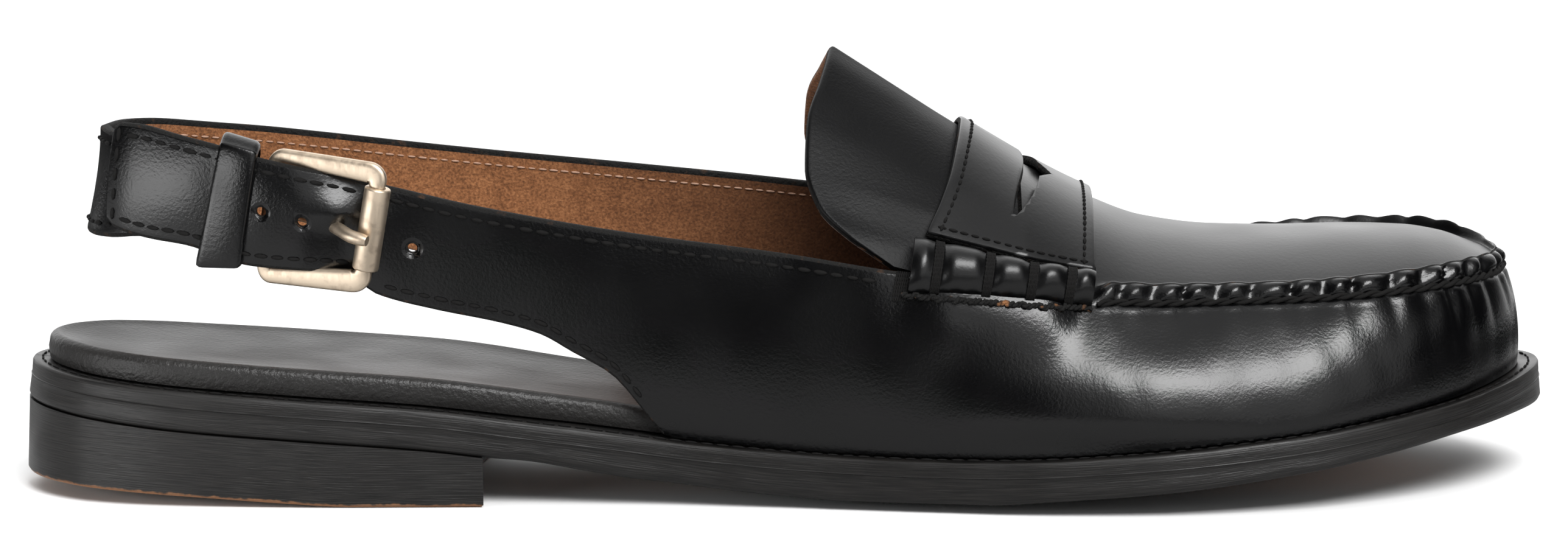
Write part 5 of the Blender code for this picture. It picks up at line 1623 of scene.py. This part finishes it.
# %% Shape of the buckle
BUCKLE_CORNERS = ((-95.6, 67.2, -0.7), (-75.3, 64.1, 3.3), (-79.1, 42.3, 3.3), (-98.6, 43.0, -0.7))
CORNER = on_wall(*np.transpose(BUCKLE_CORNERS))
UPPER_WEB, LOWER_WEB, CORNER_SHARE, BAR_RADIUS = 1.0, 1.4, 0.1, 1.2


def buckle_point(along, across):
    upper_side = CORNER[0] + along * (CORNER[1] - CORNER[0])
    lower_side = CORNER[3] + along * (CORNER[2] - CORNER[3])
    return upper_side + across * (lower_side - upper_side)


def frame_loops():
    """Sections round the buckle's frame: flat on the arms, round on the two bars."""
    route = []
    near, far = CORNER_SHARE, 1.0 - CORNER_SHARE
    for along, across, quarter, target in (
            (near, near, 2, (far, 0.0)), (far, near, 3, (1.0, far)),
            (far, far, 0, (near, 1.0)), (near, far, 1, (0.0, near))):
        for turn in 0.5 * math.pi * (quarter + np.linspace(0.0, 1.0, 9)):
            route.append((along + near * math.cos(turn), across + near * math.sin(turn)))
        corner, target = np.array(route[-1]), np.array(target)
        route += [tuple(corner + part * (target - corner)) for part in np.linspace(0.0, 1.0, 10)[1:-1]]
    path = np.array([buckle_point(*place) for place in route])
    tangent = np.roll(path, -1, axis=0) - np.roll(path, 1, axis=0)
    tangent /= np.linalg.norm(tangent, axis=1, keepdims=True)
    plane = np.cross(CORNER[1] - CORNER[0], CORNER[3] - CORNER[0])
    plane /= np.linalg.norm(plane)
    loops = []
    for (along, across), point, run in zip(route, path, tangent):
        side = np.cross(plane, run)
        arm = float(smoothstep(0.0, 1.0, (abs(across - 0.5) - 0.32) / 0.14))
        inward = CORNER.mean(axis=0) - point
        inward -= (inward @ run) * run
        inward /= np.linalg.norm(inward)
        web = arm * (UPPER_WEB if across < 0.5 else LOWER_WEB)
        half_wide = BAR_RADIUS + arm * (0.75 * along - 0.35) + 0.5 * web
        half_thick = BAR_RADIUS - 0.25 * arm
        turn = np.linspace(0.0, 2.0 * math.pi, 20, endpoint=False)[:, None]
        box = 1.0 - 0.35 * arm
        wide = np.sign(np.cos(turn)) * np.abs(np.cos(turn)) ** box
        thick = np.sign(np.sin(turn)) * np.abs(np.sin(turn)) ** box
        loops.append(point + 0.5 * web * inward + half_wide * wide * side + half_thick * thick * plane)
    return loops


def roller_loops():
    top, base = buckle_point(1.0, 0.0), buckle_point(1.0, 1.0)
    middle, axis = 0.5 * (top + base), (top - base) / np.linalg.norm(top - base)
    side = np.cross(axis, [1.0, 0.0, 0.0])
    side /= np.linalg.norm(side)
    other = np.cross(axis, side)
    half = ((1.5, 8.0), (2.2, 8.0), (2.42, 7.85), (2.5, 7.6))
    profile = half + tuple((radius, -height) for radius, height in reversed(half))
    loops = []
    for turn in np.linspace(0.0, 2.0 * math.pi, 48, endpoint=False):
        spoke = math.cos(turn) * side + math.sin(turn) * other
        loops.append(np.array([middle + radius * spoke + height * axis for radius, height in profile]))
    return loops


print("buckle's corners:", np.round(CORNER, 1).tolist())

# %% Make the buckle
def metal(name, loops, node, ring):
    piece(name, loft(name, loops, [NICKEL], ring=ring), [node])


PRONG_PATH = ((-94.7, 56.2, -0.8), (-88.2, 54.4, -0.9), (-85.2, 53.5, 0.3), (-83.2, 53.0, 3.3),
              (-80.8, 52.2, 6.5), (-77.8, 51.5, 7.6))
PRONG_STEPS, PRONG_RADIUS = 26, 1.25
prong_ends = np.ones(PRONG_STEPS)
prong_ends[-2:] = (0.95, 0.78)
prong_path = smooth_path(on_wall(*np.transpose(PRONG_PATH)), PRONG_STEPS)
metal("buckle_frame_cast", frame_loops(), "buckle_frame", ring=True)
metal("buckle_roller_tube", roller_loops(), "buckle_roller", ring=True)
metal("buckle_prong_bar", tube_loops(prong_path, PRONG_RADIUS, prong_ends), "buckle_prong", ring=False)

# %% Make the keeper
KEEPER_RIMS = ((-105.2, -110.2), (-98.4, -101.9))
KEEPER_GAP, KEEPER_THICK, KEEPER_LOW, KEEPER_CROWN = 0.45, 1.4, 47.2, 0.06
KEEPER_DROP, KEEPER_STEPS = 0.6, 18


def keeper_section(part, grow):
    """One loop round both layers of strap, at a part of the keeper's width."""
    rear, front = np.array(KEEPER_RIMS)
    top_x, low_x = rear + part * (front - rear)
    top_angle = angle_of_seam(top_x)
    outer_face, inner_face = float(STRAP_LIFT(top_angle)), -THICKNESS
    top = max(float(TOP["outer_z"](top_angle)), float(BACK_STRAP["top"](top_angle))) + grow - KEEPER_DROP
    low = KEEPER_LOW - grow
    turn = np.linspace(-0.5 * math.pi, 0.5 * math.pi, KEEPER_STEPS)
    climb = 0.5 + 0.5 * np.sign(np.sin(turn)) * np.abs(np.sin(turn)) ** 0.45
    bulge = grow * (0.5 + 0.5 * np.abs(np.cos(turn)) ** 0.5)
    across = np.linspace(1.0, -1.0, 9)[1:-1]
    middle, half = 0.5 * (outer_face + inner_face), 0.5 * (outer_face - inner_face + grow)
    share = np.concatenate([climb, 1.0 + KEEPER_CROWN * (1.0 - across ** 2), climb[::-1]])
    lift = np.concatenate([outer_face + bulge, middle + across * half, inner_face - bulge[::-1]])
    return on_wall(low_x + share * (top_x - low_x), low + share * (top - low), lift)


inner_loops = [keeper_section(part, KEEPER_GAP) for part in (0.0, 0.5, 1.0)]
KEEPER_EDGE = ((0.0, 0.45), (0.06, 0.1), (0.14, 0.0), (0.86, 0.0), (0.94, 0.1), (1.0, 0.45))
outer_loops = [keeper_section(part, KEEPER_GAP + KEEPER_THICK - dip) for part, dip in KEEPER_EDGE]
keeper = loft("keeper", inner_loops + outer_loops[::-1], [POLISHED], ring=True, sharp=60.0)
piece("strap_keeper_loop", keeper, ["strap_keeper"])

# %% [markdown]
# ## Floor, light and camera
# The picture was taken slightly from above, straight at the outer side. The camera stands 1.8 m off
# with a long lens. The light is a pale room, bright behind and darker in front, with one soft box that
# draws the long highlight along the vamp, a low strip for the heel's edge and a fill for the floor. In
# reflections the floor shows a painted reflection: dark far off, lighter near the shoe and beside the heel.

# %% Floor
def soft_step(tree, value, start, end, low, high):
    """Runs softly from low at start to high at end."""
    links = {"Value": value, "From Min": start, "From Max": end, "To Min": low, "To Max": high}
    return add(tree, "ShaderNodeMapRange", links, interpolation_type="SMOOTHSTEP").outputs["Result"]


FLOOR_SIZE, FLOOR_Z, FLOOR_WHITE = 12.0, -0.0002, 0.93


def pale_floor():
    bpy.ops.mesh.primitive_plane_add(size=FLOOR_SIZE, location=(0.0, 0.0, FLOOR_Z))
    floor = bpy.context.object
    floor.name = "floor"
    material = bpy.data.materials.new("pale_floor")
    material.use_nodes = True
    tree = material.node_tree
    shader = tree.nodes["Principled BSDF"]
    shader.inputs["Base Color"].default_value = (FLOOR_WHITE, FLOOR_WHITE, FLOOR_WHITE, 1.0)
    shader.inputs["Roughness"].default_value = 0.9
    shader.inputs["Specular IOR Level"].default_value = 0.0
    path = tree.nodes.new("ShaderNodeLightPath")
    here = tree.nodes.new("ShaderNodeTexCoord").outputs["Object"]
    place = add(tree, "ShaderNodeSeparateXYZ", {"Vector": here})
    along = place.outputs["X"]
    away = math_node(tree, "ABSOLUTE", place.outputs["Y"])
    slim = math_node(tree, "SUBTRACT", away, soft_step(tree, along, 0.0, 0.03, 0.0, 0.045))
    painted_reflection_tones = []
    # what is measured, where it starts and ends, its two tones, and where it fades along the shoe
    for value, start, end, low, high, fade_from, fade_to in (
            (slim, 0.105, 0.08, 0.02, 0.36, 0.25, 0.18),
            (away, 0.24, 0.10, 0.0, 0.4, -0.06, -0.09),
            (away, 0.24, 0.36, 0.0, 0.65, -0.045, -0.02)):
        painted_reflection_tones.append(math_node(tree, "MULTIPLY", soft_step(tree, value, start, end, low, high),
                               soft_step(tree, along, fade_from, fade_to, 0.0, 1.0)))
    tone = math_node(tree, "MAXIMUM", math_node(tree, "MAXIMUM", painted_reflection_tones[0], painted_reflection_tones[1]), painted_reflection_tones[2])
    # painted reflection: in the gloss the floor takes these tones, dark far from the shoe, lighter close to
    # it and over a wide patch on the heel's side
    dark = add(tree, "ShaderNodeBsdfDiffuse", {"Color": tone})
    mixed = add(tree, "ShaderNodeMixShader", {
        0: path.outputs["Is Glossy Ray"], 1: shader.outputs[0], 2: dark.outputs[0]})
    tree.links.new(mixed.outputs[0], tree.nodes["Material Output"].inputs["Surface"])
    floor.data.materials.append(material)


pale_floor()
print("floor laid")

# %% Light
def room_light():
    world = bpy.data.worlds.new("pale_room")
    bpy.context.scene.world = world
    world.use_nodes = True
    tree = world.node_tree
    back = tree.nodes["Background"]
    look = tree.nodes.new("ShaderNodeTexCoord").outputs["Generated"]
    parts = add(tree, "ShaderNodeSeparateXYZ", {"Vector": look})
    x, y, z = (parts.outputs[axis] for axis in "XYZ")
    lean = math_node(tree, "ADD", y, math_node(tree, "MULTIPLY", z, 0.35))
    rear = add(tree, "ShaderNodeMapRange", {
        "Value": lean, "From Min": 0.3, "From Max": 1.0, "To Min": 0.0, "To Max": 1.65}).outputs["Result"]
    for start, end, share in ((0.3, 0.5, 0.55), (0.6, 0.85, 0.05)):
        rear = math_node(tree, "MULTIPLY", rear, soft_step(tree, x, start, end, 1.0, share))
    front = soft_step(tree, y, 0.1, -0.2, 0.0, 0.75)
    for value, start, end in ((x, -0.24, -0.12), (x, 0.95, 0.81), (z, 0.6, 0.35)):
        front = math_node(tree, "MULTIPLY", front, soft_step(tree, value, start, end, 0.0, 1.0))
    above = math_node(tree, "MULTIPLY", soft_step(tree, z, 0.8, 0.88, 0.0, 0.6),
                      soft_step(tree, y, 0.2, -0.05, 0.0, 1.0))
    level = math_node(tree, "ADD", math_node(tree, "ADD", rear, front), above)
    tree.links.new(level, back.inputs["Strength"])
    back.inputs["Color"].default_value = (1.0, 1.0, 1.0, 1.0)


def soft_box(name, azimuth, elevation, distance, wide, tall, radiance, aim=(0.0, 0.0, 0.0), in_gloss=True):
    """A panel of light that faces the aim; one that isn't in the gloss only lights matt things."""
    turn, climb = math.radians(azimuth), math.radians(elevation)
    axis = np.array([math.sin(turn) * math.cos(climb), -math.cos(turn) * math.cos(climb), math.sin(climb)])
    place = np.array(aim) + distance * axis
    light = bpy.data.lights.new(name, "AREA")
    light.shape, light.size, light.size_y = "RECTANGLE", wide, tall
    light.energy = radiance * math.pi * wide * tall
    lamp = bpy.data.objects.new(name, light)
    right = np.cross([0.0, 1.0, 0.0] if elevation > 89.0 else [0.0, 0.0, 1.0], axis)
    right /= np.linalg.norm(right)
    up = np.cross(axis, right)
    lamp.matrix_world = Matrix([[right[n], up[n], axis[n], place[n]] for n in range(3)] + [[0, 0, 0, 1]])
    lamp.visible_camera = False
    lamp.visible_glossy = in_gloss
    bpy.context.scene.collection.objects.link(lamp)


room_light()
soft_box("front_soft_box", 22.0, 45.5, 2.6, 1.75, 1.15, 13.5)
soft_box("low_strip_by_the_heel", -50.0, 0.0, 0.22, 0.22, 0.075, 5.0, aim=(-0.117, -0.025, 0.038))
soft_box("floor_fill", 0.0, 90.0, 1.6, 2.4, 2.4, 0.9, in_gloss=False)
print("lamps:", [lamp.name for lamp in bpy.data.lights])

# %% Camera
CAMERA_ELEVATION, CAMERA_ROLL, CAMERA_DISTANCE = 9.0, -0.5, 1.8
CAMERA_TARGET = np.array([0.0, 0.0, 0.03862])
PIXELS_PER_MM, PICTURE_WIDTH = 8.6, 2576


def photo_camera():
    climb, roll = math.radians(CAMERA_ELEVATION), math.radians(CAMERA_ROLL)
    back = np.array([0.0, -math.cos(climb), math.sin(climb)])
    right = np.array([1.0, 0.0, 0.0])
    up = np.cross(back, right)
    turned_right = right * math.cos(roll) + up * math.sin(roll)
    turned_up = -right * math.sin(roll) + up * math.cos(roll)
    place = CAMERA_TARGET + back * CAMERA_DISTANCE
    data = bpy.data.cameras.new("photo_camera")
    data.sensor_width = 36.0
    data.lens = PIXELS_PER_MM * CAMERA_DISTANCE / MM * data.sensor_width / PICTURE_WIDTH
    data.clip_start, data.clip_end = 0.05, 50.0
    camera = bpy.data.objects.new("photo_camera", data)
    camera.matrix_world = Matrix(
        [[turned_right[n], turned_up[n], back[n], place[n]] for n in range(3)] + [[0, 0, 0, 1]])
    bpy.context.scene.collection.objects.link(camera)
    bpy.context.scene.camera = camera
    print(f"lens {data.lens:.1f} mm")


photo_camera()

# %% [markdown]
# The last cell brings the scene up to date.

# %% Finish
bpy.context.view_layer.update()
